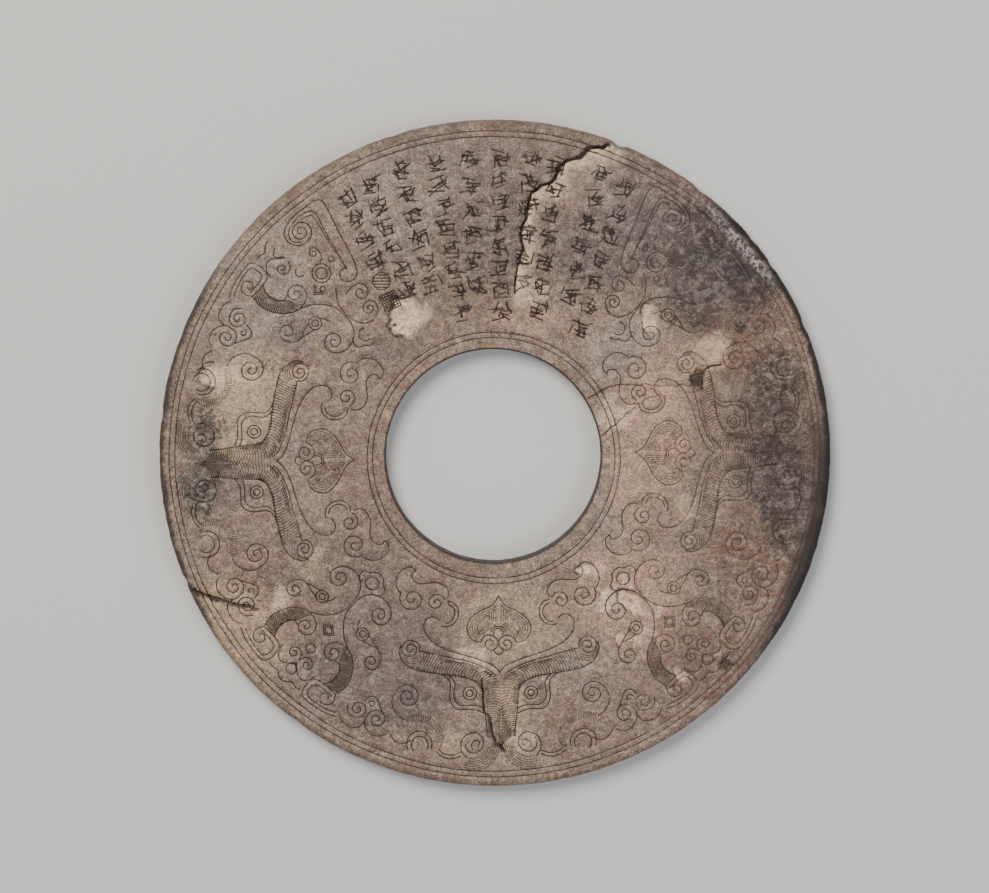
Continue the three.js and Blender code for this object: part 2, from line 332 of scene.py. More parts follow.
# %% The brow, its crescent and the clouds above it
def brow():
    fork = crook([(0, -65.0), (1.4, -63.3), (3.8, -61.9), (7.5, -60.6), (12, -59.3), (16, -57.9),
                  (19.6, -55.8), (21.8, -53.2), (22.4, -50.8)], (19.4, -50.4), 0.42, 2.2)
    crescent = smooth((17.1, -50.7), (16.0, -51.0), (14.0, -50.5), (12.5, -48.9), (12.0, -46.9),
                      (12.4, -44.9), (13.6, -43.6), (15.3, -43.2))
    second = smooth((15.9, -50.0), (14.4, -49.5), (13.3, -48.0), (13.1, -46.4), (13.7, -45.0), (15.0, -44.2))
    return [fork, crescent, second]


def cloud():
    return [
        smooth((24.2, -33.6), (25.4, -34.3), (25.3, -35.9), (24.2, -37.2), (22.4, -37.7), (20.4, -37.5),
               (18.6, -37.4), (16.6, -38.0), (15.2, -39.3), (14.7, -40.8), (15.2, -42.3)),
        smooth((24.2, -33.6), (25.2, -32.6), (26.8, -32.4), (28.7, -33.4), (30.0, -35.4), (30.2, -38.0),
               (29.2, -40.1)),
        crook([(28.6, -39.9), (29.2, -41.7), (28.7, -43.8)], (25.5, -42.2), -1.5),
        crook([(15.9, -42.7), (17.0, -41.5)], (18.6, -43.6), -1.4)]


brow_lines = [*brow(), *cloud()]
print(f"brow and cloud: {len(brow_lines)} lines")

# %% The horn and the trunk, with their feathers
def horn():
    upper = smooth((1.2, -66.1), (3.0, -64.4), (6.0, -62.9), (10, -61.5), (14, -60.7), (18, -59.6),
                   (21.5, -58.7), (23.8, -58.2))
    lower = smooth((5.3, -70.8), (6.4, -68.6), (8.2, -67.3), (11, -66.3), (15, -65.8), (19, -65.2),
                   (23, -64.4), (26.4, -63.2), (28.8, -61.0), (29.8, -58.4), (29.4, -56.2))
    side = smooth((4.2, -84.6), (4.4, -81.0), (4.8, -77.5), (5.1, -73.5), (5.3, -70.8))
    tip = crook([(23.9, -58.0), (23.8, -56.6), (24.7, -55.3), (26.6, -54.6)], (26.4, -57.4), -1.75)
    shells = between(spiral((26.4, -57.4), 2.5, 2.3, -135, 0.44), spiral((26.2, -57.8), 5.0, 3.5, -125, 0.42),
                     [0.25, 0.5, 0.75])
    top_rail = smooth((4.8, -63.9), (7.8, -62.7), (11.0, -61.9), (15.2, -61.1), (18.2, -60.0), (20.4, -59.2),
                      (22.9, -58.4))
    low_rail = smooth((7.9, -67.8), (10.3, -66.9), (13.3, -66.3), (16.6, -65.6), (19.6, -65.2), (22.6, -64.5),
                      (25.4, -63.5))
    feathers = hatch(top_rail, low_rail, 21, 0.0, -0.7, 0.45)
    return [upper, lower, side, tip], shells + feathers


def trunk():
    top_rail = smooth((0.1, -89.8), (0.1, -84.5), (0.1, -79.5), (0.1, -74.5), (0.2, -70.2), (0.6, -68.0),
                      (1.8, -66.0), (4.2, -64.2))
    low_rail = smooth((4.2, -84.6), (4.2, -82.4), (4.3, -78.6), (4.7, -74.8), (5.1, -71.4), (6.1, -69.2),
                      (7.7, -67.9))
    feathers = hatch(top_rail, low_rail, 29, 0.0, -0.8)
    fins = [spiral((8.0, -86.4), 4.6 + 0.6 * i, 4.7 + 0.75 * i, 196 - 3 * i,
                   0.26 + 0.012 * i) for i in range(6)]
    return feathers + fins


horn_lines, horn_feathers = horn()
trunk_feathers = trunk()
print(f"horn: {len(horn_lines)} lines and {len(horn_feathers)} feathers")
print(f"trunk: {len(trunk_feathers)} feathers")

# %% The eye, the lid and the cheek
def face():
    lid = [smooth((17.6, -65.5), (16.0, -66.3), (14.9, -67.7), (14.8, -70.0), (15.0, -72.4), (14.4, -74.6),
                  (12.8, -75.9), (10.6, -76.0), (7.6, -76.2), (5.2, -77.2)),
           smooth((15.2, -65.9), (13.9, -67.2), (13.4, -68.8), (13.8, -70.8), (13.7, -72.6), (12.9, -74.1),
                  (11.5, -74.8), (9.2, -74.8), (7.0, -74.9), (5.1, -75.7))]
    eye = [ring((9.2, -71.2), 1.0), ring((9.2, -71.2), 1.95)]
    cheek = crook([(29.0, -78.8), (31.0, -77.4), (32.3, -75.1), (32.5, -72.6), (31.2, -70.1)],
                  (27.7, -71.8), 1.9)
    plume_top = smooth((28.9, -78.0), (27.0, -77.6), (24.4, -77.3), (21.9, -77.8), (19.7, -79.0),
                       (18.0, -81.0), (17.1, -83.4), (17.1, -85.6), (17.9, -87.6))
    plume_low = smooth((28.8, -79.7), (27.0, -79.6), (24.6, -79.4), (22.4, -79.9), (20.6, -81.0),
                       (19.4, -82.6), (19.0, -84.4), (19.2, -86.4), (19.8, -87.6))
    curl = [spiral((24.5, -86.3), 3.9, 3.9, 200, -0.62), spiral((24.4, -86.5), 2.6, 2.6, 215, -0.72),
            smooth((27.4, -85.2), (28.7, -86.0), (30.4, -86.1), (32.2, -85.1), (33.4, -83.2)),
            crook([(10.3, -90.7), (11.6, -88.8), (11.9, -86.6)], (8.2, -86.6), 1.0, 2.4),
            smooth((8.4, -88.2), (8.8, -86.8), (7.6, -85.6), (6.3, -86.2), (6.9, -87.3)),
            smooth((11.9, -90.0), (14.6, -90.8), (17.6, -90.1), (19.4, -88.6)),
            smooth((12.0, -89.0), (14.6, -89.7), (17.2, -89.1), (18.6, -87.9))]
    return [*lid, *eye, cheek, *curl], hatch(plume_top, plume_low, 25, 0.02, 0.7)


face_lines, plume = face()
print(f"eye, lid and cheek: {len(face_lines)} lines and {len(plume)} feathers")

# %% [markdown]
# ## The corners
# Between two masks stands a pair of S scrolls with a hatched crest, a square-cornered panel at the rim and
# small curls round it. It is drawn in the same way, as the right half of a symmetric group.

# %% The scroll and the crest
def scroll():
    spine = crook([(7.8, -72.0), (4.8, -70.4), (2.2, -67.8), (0.6, -64.8), (0.25, -61.6), (0.7, -57.9),
                   (2.4, -55.2), (5.2, -53.9), (8.2, -54.1), (10.4, -55.6), (11.3, -57.8)], (8.2, -58.2),
                  -1.5)
    knot = [ring((8.2, -66.0), 1.0), ring((8.2, -66.0), 1.9),
            crook([(9.5, -67.4), (12.0, -66.8), (14.6, -66.0), (16.9, -66.9), (18.2, -69.2)], (15.7, -70.0),
                  -1.4),
            smooth((9.9, -64.9), (12.2, -65.4), (14.6, -66.0)),
            smooth((4.9, -63.4), (5.4, -64.9), (6.4, -66.3))]
    crest = crook([(14.9, -84.3), (15.3, -80.8), (14.2, -77.2), (12.2, -74.3), (9.4, -72.5), (6.6, -72.3),
                   (4.2, -73.2), (3.0, -74.9)], (5.7, -76.1), 1.45)
    inner = smooth((7.8, -77.5), (9.3, -77.2), (10.6, -78.7), (11.2, -80.9), (11.0, -83.2), (10.2, -85.0))
    feathers = hatch(smooth((8.0, -75.0), (8.6, -76.6), (9.6, -77.5), (10.7, -79.0), (11.2, -80.9),
                            (11.1, -83.0), (10.5, -84.6)),
                     smooth((6.4, -72.6), (9.4, -72.6), (12.1, -74.4), (14.0, -77.2), (15.1, -80.6),
                            (14.8, -84.0)), 24, 0.0, 0.4)
    return [spine, *knot, crest, inner], feathers


scroll_lines, crest_feathers = scroll()
print(f"scroll and crest: {len(scroll_lines)} lines and {len(crest_feathers)} feathers")

# %% The panel, the flower and the side curls
def panel():
    return [
        smooth((14.8, -84.8), (10.4, -84.9), (7.6, -85.6), (6.7, -87.6), (6.8, -90.2), (8.0, -92.1),
               (10.4, -92.3), (14.5, -91.7), (17.4, -90.8), (19.6, -89.7)),
        smooth((14.4, -86.0), (10.6, -86.3), (8.5, -87.0), (8.1, -88.8), (8.8, -90.8), (11.0, -91.1),
               (15.0, -90.3), (18.5, -89.0)),
        crook([(14.8, -84.9), (15.8, -86.6)], (13.4, -87.6), -1.1),
        straight((0, -70.2), (2.2, -72.2), (0, -74.2)), straight((0, -70.9), (1.4, -72.2), (0, -73.5)),
        spiral((0, -79.8), 1.4, 1.4, 90, -0.5),
        crook([(0.1, -84.6), (0.7, -83.0), (2.2, -82.2), (4.0, -83.2)], (2.7, -84.2), -1.1),
        smooth((6.9, -84.9), (6.3, -87.0), (5.0, -88.5), (3.2, -88.6), (1.6, -87.4), (0.1, -86.0)),
        smooth((0, -86.4), (1.6, -87.9), (1.4, -89.2), (0, -89.9)),
        smooth((0, -92.8), (1.4, -92.4), (2.8, -91.2), (4.6, -91.6), (6.2, -91.3))]


def flower():
    return [smooth((0, -49.1), (1.6, -49.6), (2.5, -50.8), (4.0, -51.4), (4.6, -52.9), (3.9, -54.4),
                   (2.7, -54.9)),
            spiral((0, -53.1), 2.3, 1.5, 90, -0.6)]


def side_curls():
    return [
        crook([(19.5, -84.6), (21.0, -86.1), (22.8, -86.2), (25.0, -84.9)], (22.7, -83.4), 1.5),
        crook([(34.4, -83.2), (33.2, -85.2), (31.0, -86.3), (28.4, -85.9), (26.5, -84.2), (26.2, -81.6)],
              (29.2, -81.9), -1.6),
        smooth((22.5, -80.2), (22.7, -78.1), (24.2, -77.1), (26.2, -77.8), (28.6, -79.0)),
        spiral((24.8, -79.5), 1.1, 0.5, 200, -0.9),
        smooth((20.2, -88.6), (22.6, -89.4), (25.2, -88.8), (26.9, -87.2), (26.9, -85.2))]


corner_lines = [*scroll_lines, *panel(), *flower(), *side_curls()]
print(f"half a corner: {len(corner_lines)} lines")

# %% The hooked bars that frame the inscription
def inscription_frame(shift, lean):
    """shift moves the group away from its axis, and lean widens it towards the rim."""
    group = [
        smooth((10.4, -70.9), (8.6, -71.4), (7.3, -70.3), (7.1, -68.6), (8.2, -67.2), (10.0, -66.8),
               (11.9, -67.5), (13.2, -69.5), (14.6, -73.0), (16.9, -80.0), (19.5, -88.3), (18.7, -90.9),
               (15.0, -91.8), (10.0, -92.4), (5.6, -91.4), (4.1, -89.3), (4.5, -86.5), (6.4, -84.6),
               (9.2, -84.2)),
        spiral((8.6, -87.6), 3.4, 0.5, 80, -1.9),
        smooth((10.4, -70.5), (12.3, -77.0), (14.6, -84.6), (15.6, -88.2), (15.0, -90.0), (12.4, -91.0),
               (8.8, -91.1), (6.2, -90.2), (5.0, -88.4), (5.2, -86.9), (6.4, -85.7)),
        smooth((11.5, -75.8), (12.9, -81.2), (14.0, -85.6), (14.4, -88.6), (12.4, -89.9)),
        crook([(4.6, -65.5), (7.4, -65.6), (9.9, -64.7)], (8.2, -62.6), 1.4),
        ring((4.1, -75.0), 2.8), ring((4.1, -75.0), 1.7), ring((0.8, -71.6), 0.8), ring((9.3, -75.7), 0.9),
        crook([(6.4, -77.4), (7.9, -78.3), (8.4, -80.2)], (6.8, -80.7), -1.3)]
    scroll_line = crook([(3.8, -69.0), (2.3, -67.2), (0.8, -65.2), (0.25, -61.6), (0.7, -57.9), (2.3, -55.2),
                         (4.8, -54.1), (7.2, -54.7), (8.8, -56.6)], (6.5, -57.4), -1.5)
    return [[(x + shift + lean * (-70 - y), y) for x, y in line] for line in group] + [scroll_line]


left_frame, right_frame = inscription_frame(0.0, 0.0), inscription_frame(1.1, 0.06)
print(f"each frame of the inscription: {len(left_frame)} lines")

# %% [markdown]
# ## The inscription
# The fourth sector holds ten columns of signs that fan out a little towards the rim. Here each sign is a
# loose bundle of level, upright and slanting cuts that spells nothing. The columns lay out the places of the
# signs, and a Geometry Nodes tree turns each place into its bundle of cuts, from a fixed seed.

# %% Where the signs stand
# each column's first and last sign, and how many it has
COLUMNS = [((-43, 76.5), (-35.5, 58.5), 4), ((-36.5, 80.5), (-25.5, 50.0), 6),
           ((-27.5, 85), (-18.5, 51.5), 6),
           ((-18, 87), (-9, 42.5), 8), ((-7.5, 88.2), (-5.5, 51), 6), ((1.5, 88.5), (1.5, 43.5), 8),
           ((11, 88.5), (8.5, 52), 6), ((18.5, 86.5), (13, 43.5), 7), ((31, 84), (22, 48), 6),
           ((38.5, 79.5), (25, 38), 7)]


def sign_places():
    places = []
    for first, last, count in COLUMNS:
        first, last = Vector(first), Vector(last)
        along = first - last
        for i in range(count):
            x, y = first.lerp(last, i / (count - 1))
            places.append((x, y, math.atan2(-along.x, along.y)))
    return places


places = sign_places()
print(f"{len(places)} signs in {len(COLUMNS)} columns")

# %% The tree that cuts a sign at each place
SIGN_SIZE = 6.3
CUTS_EACH = 10
SIGN_POINTS = 4
SHORTEST_CUT = 0.35
SIGN_SEED = 3

signs, given = new_tree("Signs", {
    "Size": ("NodeSocketFloat", SIGN_SIZE), "Seed": ("NodeSocketInt", SIGN_SEED)})


def chance(number, least, most):
    """A random value for each cut; every use of chance has a number of its own."""
    seed = add(signs, "ShaderNodeMath", [given["Seed"], number], operation="ADD")
    return add(signs, "FunctionNodeRandomValue", {2: least, 3: most, "Seed": seed},
               data_type="FLOAT").outputs[1]


dots = add(signs, "GeometryNodeMeshToPoints", {"Mesh": given["Geometry"]})
many = add(signs, "GeometryNodeDuplicateElements", {"Geometry": dots, "Amount": CUTS_EACH}, domain="POINT")
which = many.outputs["Duplicate Index"]
lean = add(signs, "GeometryNodeInputNamedAttribute", {"Name": "lean"}, data_type="FLOAT")
# cuts 0 to 3 are level, 4 to 6 upright, and the rest are dabs at any slant
is_level = add(signs, "ShaderNodeMath", [which, 4], operation="LESS_THAN")
not_level = add(signs, "ShaderNodeMath", [1, is_level], operation="SUBTRACT")
not_dab = add(signs, "ShaderNodeMath", [which, 7], operation="LESS_THAN")
is_upright = add(signs, "ShaderNodeMath", [not_dab, not_level], operation="MULTIPLY")
is_dab = add(signs, "ShaderNodeMath", [not_level, is_upright], operation="SUBTRACT")


# %% The place, the slant and the length of each cut, as parts of the sign's size
def by_kind(level, upright, dab):
    """The first value for level cuts, the second for upright ones and the third for dabs."""
    parts = [add(signs, "ShaderNodeMath", [kind, value], operation="MULTIPLY")
             for kind, value in ((is_level, level), (is_upright, upright), (is_dab, dab))]
    first_two = add(signs, "ShaderNodeMath", parts[:2], operation="ADD")
    return add(signs, "ShaderNodeMath", [first_two, parts[2]], operation="ADD")


def spaced(middle_cut, pitch, jitter):
    """Evenly spaced cuts on both sides of the middle one, each a little off."""
    steps = add(signs, "ShaderNodeMath", [which, middle_cut], operation="SUBTRACT")
    even = add(signs, "ShaderNodeMath", [steps, pitch], operation="MULTIPLY")
    return add(signs, "ShaderNodeMath", [even, jitter], operation="ADD")


off_x = by_kind(chance(1, -0.2, 0.2), spaced(5, 0.27, chance(2, -0.12, 0.12)), chance(3, -0.36, 0.36))
off_y = by_kind(spaced(1.5, 0.25, chance(4, -0.08, 0.08)), chance(5, -0.28, 0.28), chance(6, -0.4, 0.4))
upright_angle = add(signs, "ShaderNodeMath", [chance(11, -0.45, 0.45), math.pi / 2], operation="ADD")
angle = by_kind(chance(10, -0.35, 0.4), upright_angle, chance(12, -1.3, 1.3))
full_length = by_kind(chance(7, 0.3, 0.75), chance(8, 0.25, 0.65), chance(9, 0.22, 0.5))
is_made = add(signs, "ShaderNodeMath", [chance(13, 0.0, 1.0), 0.12], operation="GREATER_THAN")
length = add(signs, "ShaderNodeMath", [full_length, is_made], operation="MULTIPLY")

# %% The cuts go to their places, turned with their column
flatter = add(signs, "ShaderNodeMath", [off_y, 0.84], operation="MULTIPLY")
offset = add(signs, "ShaderNodeCombineXYZ", [off_x, flatter])
sized = add(signs, "ShaderNodeVectorMath", {0: offset, "Scale": given["Size"]}, operation="SCALE")
turned_offset = add(signs, "ShaderNodeVectorRotate", {"Vector": sized, "Angle": lean}, rotation_type="Z_AXIS")
spread = add(signs, "GeometryNodeSetPosition", {"Geometry": many, "Offset": turned_offset})
one_cut = add(signs, "GeometryNodeMeshLine", {
    "Count": SIGN_POINTS, "Start Location": (-0.5, 0, 0), "Offset": (1 / (SIGN_POINTS - 1), 0, 0)})
full_angle = add(signs, "ShaderNodeMath", [angle, lean], operation="ADD")
rotation = add(signs, "ShaderNodeCombineXYZ", {2: full_angle})
cut_length = add(signs, "ShaderNodeMath", [length, given["Size"]], operation="MULTIPLY")
stretch = add(signs, "ShaderNodeCombineXYZ", [cut_length, 1.0, 1.0])
sign_cuts = add(signs, "GeometryNodeInstanceOnPoints",
                {"Points": spread, "Instance": one_cut, "Rotation": rotation, "Scale": stretch})
finish_tree(signs, sign_cuts, jade)


def inscription():
    mesh = bpy.data.meshes.new("sign places")
    mesh.from_pydata([(x, y, 0) for x, y, _ in places], [], [])
    mesh.attributes.new("lean", "FLOAT", "POINT").data.foreach_set("value", [a for _, _, a in places])
    lines = lines_of(evaluated("signs", signs, {"Size": SIGN_SIZE, "Seed": SIGN_SEED}, mesh), SIGN_POINTS)
    return [line for line in lines if math.dist(line[0], line[-1]) > SHORTEST_CUT]


# %% The two seals, a round one and a square one
def seals():
    round_at, round_radius = Vector((-33.5, 52.3)), 2.6
    square_at, square_half, square_turn = Vector((-31.0, 46.4)), 2.5, 24
    lines = [ring(round_at, round_radius)]
    for step in range(-2, 3):
        half = math.sqrt(round_radius ** 2 - (step * 0.9) ** 2) - 0.15
        level = round_at.y + step * 0.9
        lines.append(straight((round_at.x - half, level), (round_at.x + half, level)))
    for step in range(-3, 4):
        place = step * square_half / 3
        for line in (straight((place, -square_half), (place, square_half)),
                     straight((-square_half, place), (square_half, place))):
            lines.append([(x + square_at.x, y + square_at.y) for x, y in turned(line, square_turn)])
    return lines


print(f"the seals have {len(seals())} cuts")

# %% [markdown]
# ## The whole drawing
# The motifs go to their places: masks at the left, the rim's bottom and the right, corners between them, and
# the frames beside the inscription. A hand never repeats itself exactly, so a slow noise shifts every line
# by a few tenths of a millimetre. Each line carries its half width and its depth, in millimetres.

# %% Placing the motifs
CUT = (0.235, 0.27)
FINE_CUT = (0.155, 0.18)
BORDER_CUT = (0.22, 0.24)
SIGN_CUT = (0.29, 0.28)
SEAL_CUT = (0.24, 0.24)
HAND_SHIFT = 0.45
BORDER_SHIFT = 0.25
# bearing in degrees, and whether the half is mirrored
MASK_HALVES = [(bearing, flip) for bearing in (180, 270, 0) for flip in (False, True)]
CORNER_HALVES = [(225, False), (225, True), (315, False), (315, True), (135, False), (45, True)]


def hand_drawn(line, strength=HAND_SHIFT):
    shifted = []
    for x, y in line:
        drift = noise.noise_vector((x / 17, y / 17, 4.2))
        shifted.append((x + strength * drift.x, y + strength * drift.y))
    return shifted


def placed(lines, bearing, flip, tool):
    result = []
    for line in lines:
        side = mirrored(line) if flip else line
        result.append((hand_drawn(turned(side, bearing + 90 + PATTERN_TURN)), *tool))
    return result


def borders(circles):
    """The border lines, given as (centre, radius, step)."""
    return [(hand_drawn(ring(centre, radius, step), BORDER_SHIFT), *BORDER_CUT)
            for centre, radius, step in circles]


def whole_drawing():
    mask_lines = [*brow_lines, *leaf_lines, *horn_lines, *face_lines]
    mask_hair = [*leaf_veins, *horn_feathers, *plume, *trunk_feathers]
    drawing = []
    for bearing, flip in MASK_HALVES:
        drawing += placed(mask_lines, bearing, flip, CUT) + placed(mask_hair, bearing, flip, FINE_CUT)
    for bearing, flip in CORNER_HALVES:
        drawing += placed(corner_lines, bearing, flip, CUT) + placed(crest_feathers, bearing, flip, FINE_CUT)
    drawing += placed(left_frame, 135, True, CUT) + placed(right_frame, 45, False, CUT)
    drawing += borders([((0, 0), 96.7, 1.0), ((0, 0), 95.0, 1.0),
                        ((-0.3, -0.45), 37.6, 0.9), ((-0.3, -0.45), 36.0, 0.9)])
    drawing += [(hand_drawn(line), *SIGN_CUT) for line in inscription()]
    drawing += [(line, *SEAL_CUT) for line in seals()]
    return drawing


drawing = whole_drawing()
total = sum(math.dist(a, b) for line, _, _ in drawing for a, b in zip(line, line[1:]))
print(f"{len(drawing)} cuts, {total / 1000:.1f} m in all")

# %% [markdown]
# ## The damage
# Long burial split the stone and lifted flakes from it. A fissure is a jagged path: on its steep side the
# stone stands, on the other it has dropped and slopes up again. A spall is a shallow scoop with a broken
# outline. Both are written as functions of (x, y), so that one loop can lower the face everywhere.

# %% Where the fissures and the spalls are
def jagged(points, size=0.5, step=0.6):
    line = []
    for x, y in straight(*points, step=step):
        kink = noise.noise_vector((x / 1.7, y / 1.7, 9.1))
        line.append((x + size * kink.x, y + size * kink.y))
    return line


# path, depth and width of the open crack at its start and end, how wide the flake beside it slopes, how fresh
FISSURES = {
    "step from the rim": dict(
        path=jagged([(37, 96.5), (34.6, 93.6), (32.7, 91.4), (28.1, 91.0), (25.5, 88.5), (20.8, 87.0),
                     (18.7, 84.6), (18.3, 82.0), (14.9, 80.5), (10.9, 77.8), (10.2, 74.8), (9.6, 70.9),
                     (8.1, 67.5), (8.1, 64.1), (8.8, 61.5), (6.8, 56.4), (5.9, 52.5), (6.2, 48)], 0.5),
        depth=(2.0, 0.8), open=(1.5, 0.5), flake=(7.5, 5.0), fresh=1.0),
    "wedge at the lower left": dict(
        path=jagged([(-94.8, -37.4), (-91.2, -39.4), (-87.8, -40.9), (-80.5, -43.0), (-76.5, -44.4),
                     (-72.9, -44.8), (-70.9, -45.8)], 0.3),
        depth=(2.2, 0.9), open=(2.1, 0.7), flake=(1.0, 0.4), fresh=0.35),
    "crack from the hole": dict(
        path=jagged([(27.4, 17.3), (30.9, 19.8), (37.1, 21.6), (44.8, 21.6), (52, 21.2), (58.8, 21.6)], 0.7),
        depth=(0.4, 0.25), open=(0.3, 0.2), flake=(0.2, 0.15), fresh=0.0),
    "second crack from the hole": dict(
        path=jagged([(31.9, 6.4), (37.9, 11.7), (42, 15.2), (44.8, 17.3), (49, 18.4)], 0.6),
        depth=(0.4, 0.25), open=(0.3, 0.15), flake=(0.2, 0.15), fresh=0.0),
    "crack by the pit": dict(
        path=jagged([(67.0, 27.2), (63.9, 26.8), (62.4, 25.5), (61.5, 23.4), (61.9, 20.9)], 0.3),
        depth=(0.6, 0.9), open=(0.4, 1.1), flake=(1.5, 1.8), fresh=0.3),
    "crack along the trunk": dict(
        path=jagged([(-3.9, -67.5), (-3.5, -73), (-3, -76.5), (-1.3, -79), (-0.7, -83), (0.5, -86),
                     (3, -88.5)], 0.4),
        depth=(0.9, 1.0), open=(0.5, 0.8), flake=(1.4, 2.4), fresh=0.5),
    "crack in the left cheek": dict(
        path=jagged([(-83.4, 28.2), (-86.5, 27.4), (-88, 25), (-89.5, 22.8)], 0.5),
        depth=(0.4, 0.3), open=(0.5, 0.3), flake=(3.0, 2.5), fresh=0.5),
}

# place, radii along and across, turn in degrees, depth, and how fresh the stone is; below 0 it says instead
# how dark the pit is painted, with dirt and painted shadow
SPALLS = [
    ((-25.4, 42.0), (6.6, 6.2), 0, 0.8, 1.0),
    ((46.0, 40.6), (2.6, 5.0), 14, 0.45, 0.9),
    ((52.5, 42.5), (5.0, 3.4), 20, 0.4, -0.2),
    ((60.4, 23.8), (2.2, 3.4), -20, 0.9, -0.8),
    ((64.2, 31.6), (5.6, 4.2), 20, 0.3, 0.3),
    ((73, 38.5), (2.0, 1.6), 0, 0.4, -0.8),
    ((27, -33.8), (2.9, 1.5), 8, 0.5, 1.0),
    ((32.5, -43.2), (1.5, 3.6), 0, 0.3, 0.8),
    ((41.8, -44.6), (5.4, 2.8), -48, 0.35, 0.9),
    ((37.8, -54.7), (1.9, 2.6), -15, 0.3, 0.8),
    ((-84, -9), (3.0, 2.2), 20, 0.7, -0.3),
    ((-86, 9), (3.2, 2.4), 80, 0.5, -0.4),
    ((-82.5, 24.2), (6.0, 3.2), 15, 0.35, 0.8),
    ((69, -63), (2.2, 1.6), 10, 0.5, -0.6),
    ((55.5, -65.5), (3.6, 1.5), -45, 0.3, 0.7),
    ((83, 6), (2.6, 1.6), 70, 0.4, -0.4),
]
print(f"{len(FISSURES)} fissures and {len(SPALLS)} spalls")


# %% How far they lower the face
def opening(fissure, part, ripple):
    """Width of the open crack this far along, where ripple is noise about 0."""
    start, end = fissure["open"]
    return (start + (end - start) * part) * (1 + 0.7 * ripple)


def ripple_at(x, y):
    return noise.noise((x / 3, y / 3, 1.5))


def beside(path, points):
    """For each point: distance to a path, side (above zero on its left), and part of the way along."""
    best = np.full(len(points), 1e9)
    side = np.zeros(len(points))
    part = np.zeros(len(points))
    line = np.array(path)
    for i, (a, b) in enumerate(zip(line, line[1:])):
        run = b - a
        away = points - a
        t = np.clip(away @ run / (run @ run), 0, 1)
        gap = away - t[:, None] * run
        distance = np.hypot(gap[:, 0], gap[:, 1])
        closer = distance < best
        best[closer] = distance[closer]
        side[closer] = (run[0] * away[:, 1] - run[1] * away[:, 0])[closer]
        part[closer] = (i + t[closer]) / (len(line) - 1)
    return best, side, part


def rough(points, size, seed):
    return np.array([noise.fractal((x / size, y / size, seed), 0.8, 2.0, 4) for x, y in points])


def damage(points):
    """How far each point of the face has dropped, how fresh it is and how dark, all as arrays; the dark is
    dirt with painted shadow in open cracks and pits, and a painted shadow line on the west edge of fresh
    spalls.
    """
    drop = np.zeros(len(points))
    fresh = np.zeros(len(points))
    dark = np.zeros(len(points))
    grain = rough(points, 1.6, 2.5)
    outline = rough(points, 4.5, 6.5)
    ripple = np.array([ripple_at(x, y) for x, y in points])
    for fissure in FISSURES.values():
        distance, side, part = beside(fissure["path"], points)
        deep = fissure["depth"][0] + (fissure["depth"][1] - fissure["depth"][0]) * part
        flake = fissure["flake"][0] + (fissure["flake"][1] - fissure["flake"][0]) * part
        on_flake = (side > 0) & (distance > 0.02)
        open_here = np.clip((opening(fissure, part, ripple) - distance) / 0.12, 0, 1) * ~on_flake
        slope = np.clip(1 - distance / (flake * (1 + 0.35 * grain)), 0, 1) * on_flake
        drop = np.maximum(drop, deep * np.maximum(open_here, 0.35 * slope * (1 + 0.3 * grain)))
        pale = 0.45 * np.clip(slope * 1.3 + 0.6 * outline, 0, 1) * (slope > 0) + 0.55 * slope ** 3
        fresh = np.maximum(fresh, fissure["fresh"] * pale)
        # the open crack is darkened: dirt, with painted shadow for the shade under the flake's lip
        dark = np.maximum(dark, open_here * (0.9 + 0.3 * grain))
    for place, radii, turn, deep, freshness in SPALLS:
        c, s = math.cos(math.radians(turn)), math.sin(math.radians(turn))
        away = points - np.array(place)
        along_it, across_it = away @ (c, s) / radii[0], away @ (-s, c) / radii[1]
        reach = np.hypot(along_it, across_it) + 0.32 * outline + 0.06 * grain
        west = np.clip(0.5 - away[:, 0] / radii[0], 0, 1)
        inside = np.clip((1 - reach) / (0.5 - 0.4 * west), 0, 1)
        drop = np.maximum(drop, deep * inside * (1 + 0.55 * grain + 0.4 * outline))
        fresh = np.maximum(fresh, max(freshness, 0) * inside)
        # painted shadow: a dark line along the west edge of a fresh spall, and a pit darkened with dirt and
        # painted shadow where the freshness is below 0
        edge = np.clip(1.4 - abs(reach - 1.05) * 10, 0, 1) * np.clip(west * 1.6 - 0.4, 0, 1)
        dark = np.maximum(dark, edge * max(freshness, 0) + max(-freshness, 0) * inside)
    return drop, fresh, dark


# %% [markdown]
# ## The face
# A thin line needs only three rows of points to be a V: its two lips and its bottom. So the face is one
# triangulation of all the lines' points and a loose net between them, denser where the stone is broken.
# Blender's constrained Delaunay triangulation joins them, and keeps the bottom of each line unbroken.

# %% Points for the plan
ROUNDING = 1.7
LIP_ROUNDING = 0.7
RIM_COUNT = 720
HOLE_COUNT = 256
NET_PITCH = 2.0
NET_CLEARANCE = 0.75
BROKEN_PITCH = 0.55
BACK_PITCH = 3.6
BACK_CLEARANCE = 1.3


def circle(centre, radius, count):
    return [(centre[0] + radius * math.cos(2 * math.pi * i / count),
             centre[1] + radius * math.sin(2 * math.pi * i / count)) for i in range(count)]


def line_points(lines):
    """The bottoms as a chain of points with edges, and the lips as loose points."""
    bottoms, edges, lips = [], [], []
    for line, half_width, _ in lines:
        first = len(bottoms)
        bottoms += line
        edges += [(first + i, first + i + 1) for i in range(len(line) - 1)]
        for before, point, after in zip([line[0], *line], line, [*line[1:], line[-1]]):
            run = (Vector(after) - Vector(before)).normalized()
            for sign in (-1, 1):
                lips.append((point[0] - sign * run.y * half_width, point[1] + sign * run.x * half_width))
        for end, inner in ((line[0], line[1]), (line[-1], line[-2])):
            outwards = (Vector(end) - Vector(inner)).normalized() * half_width
            for cap in (outwards, outwards / 2 + outwards.orthogonal(), outwards / 2 - outwards.orthogonal()):
                lips.append((end[0] + cap.x, end[1] + cap.y))
    return bottoms, edges, lips


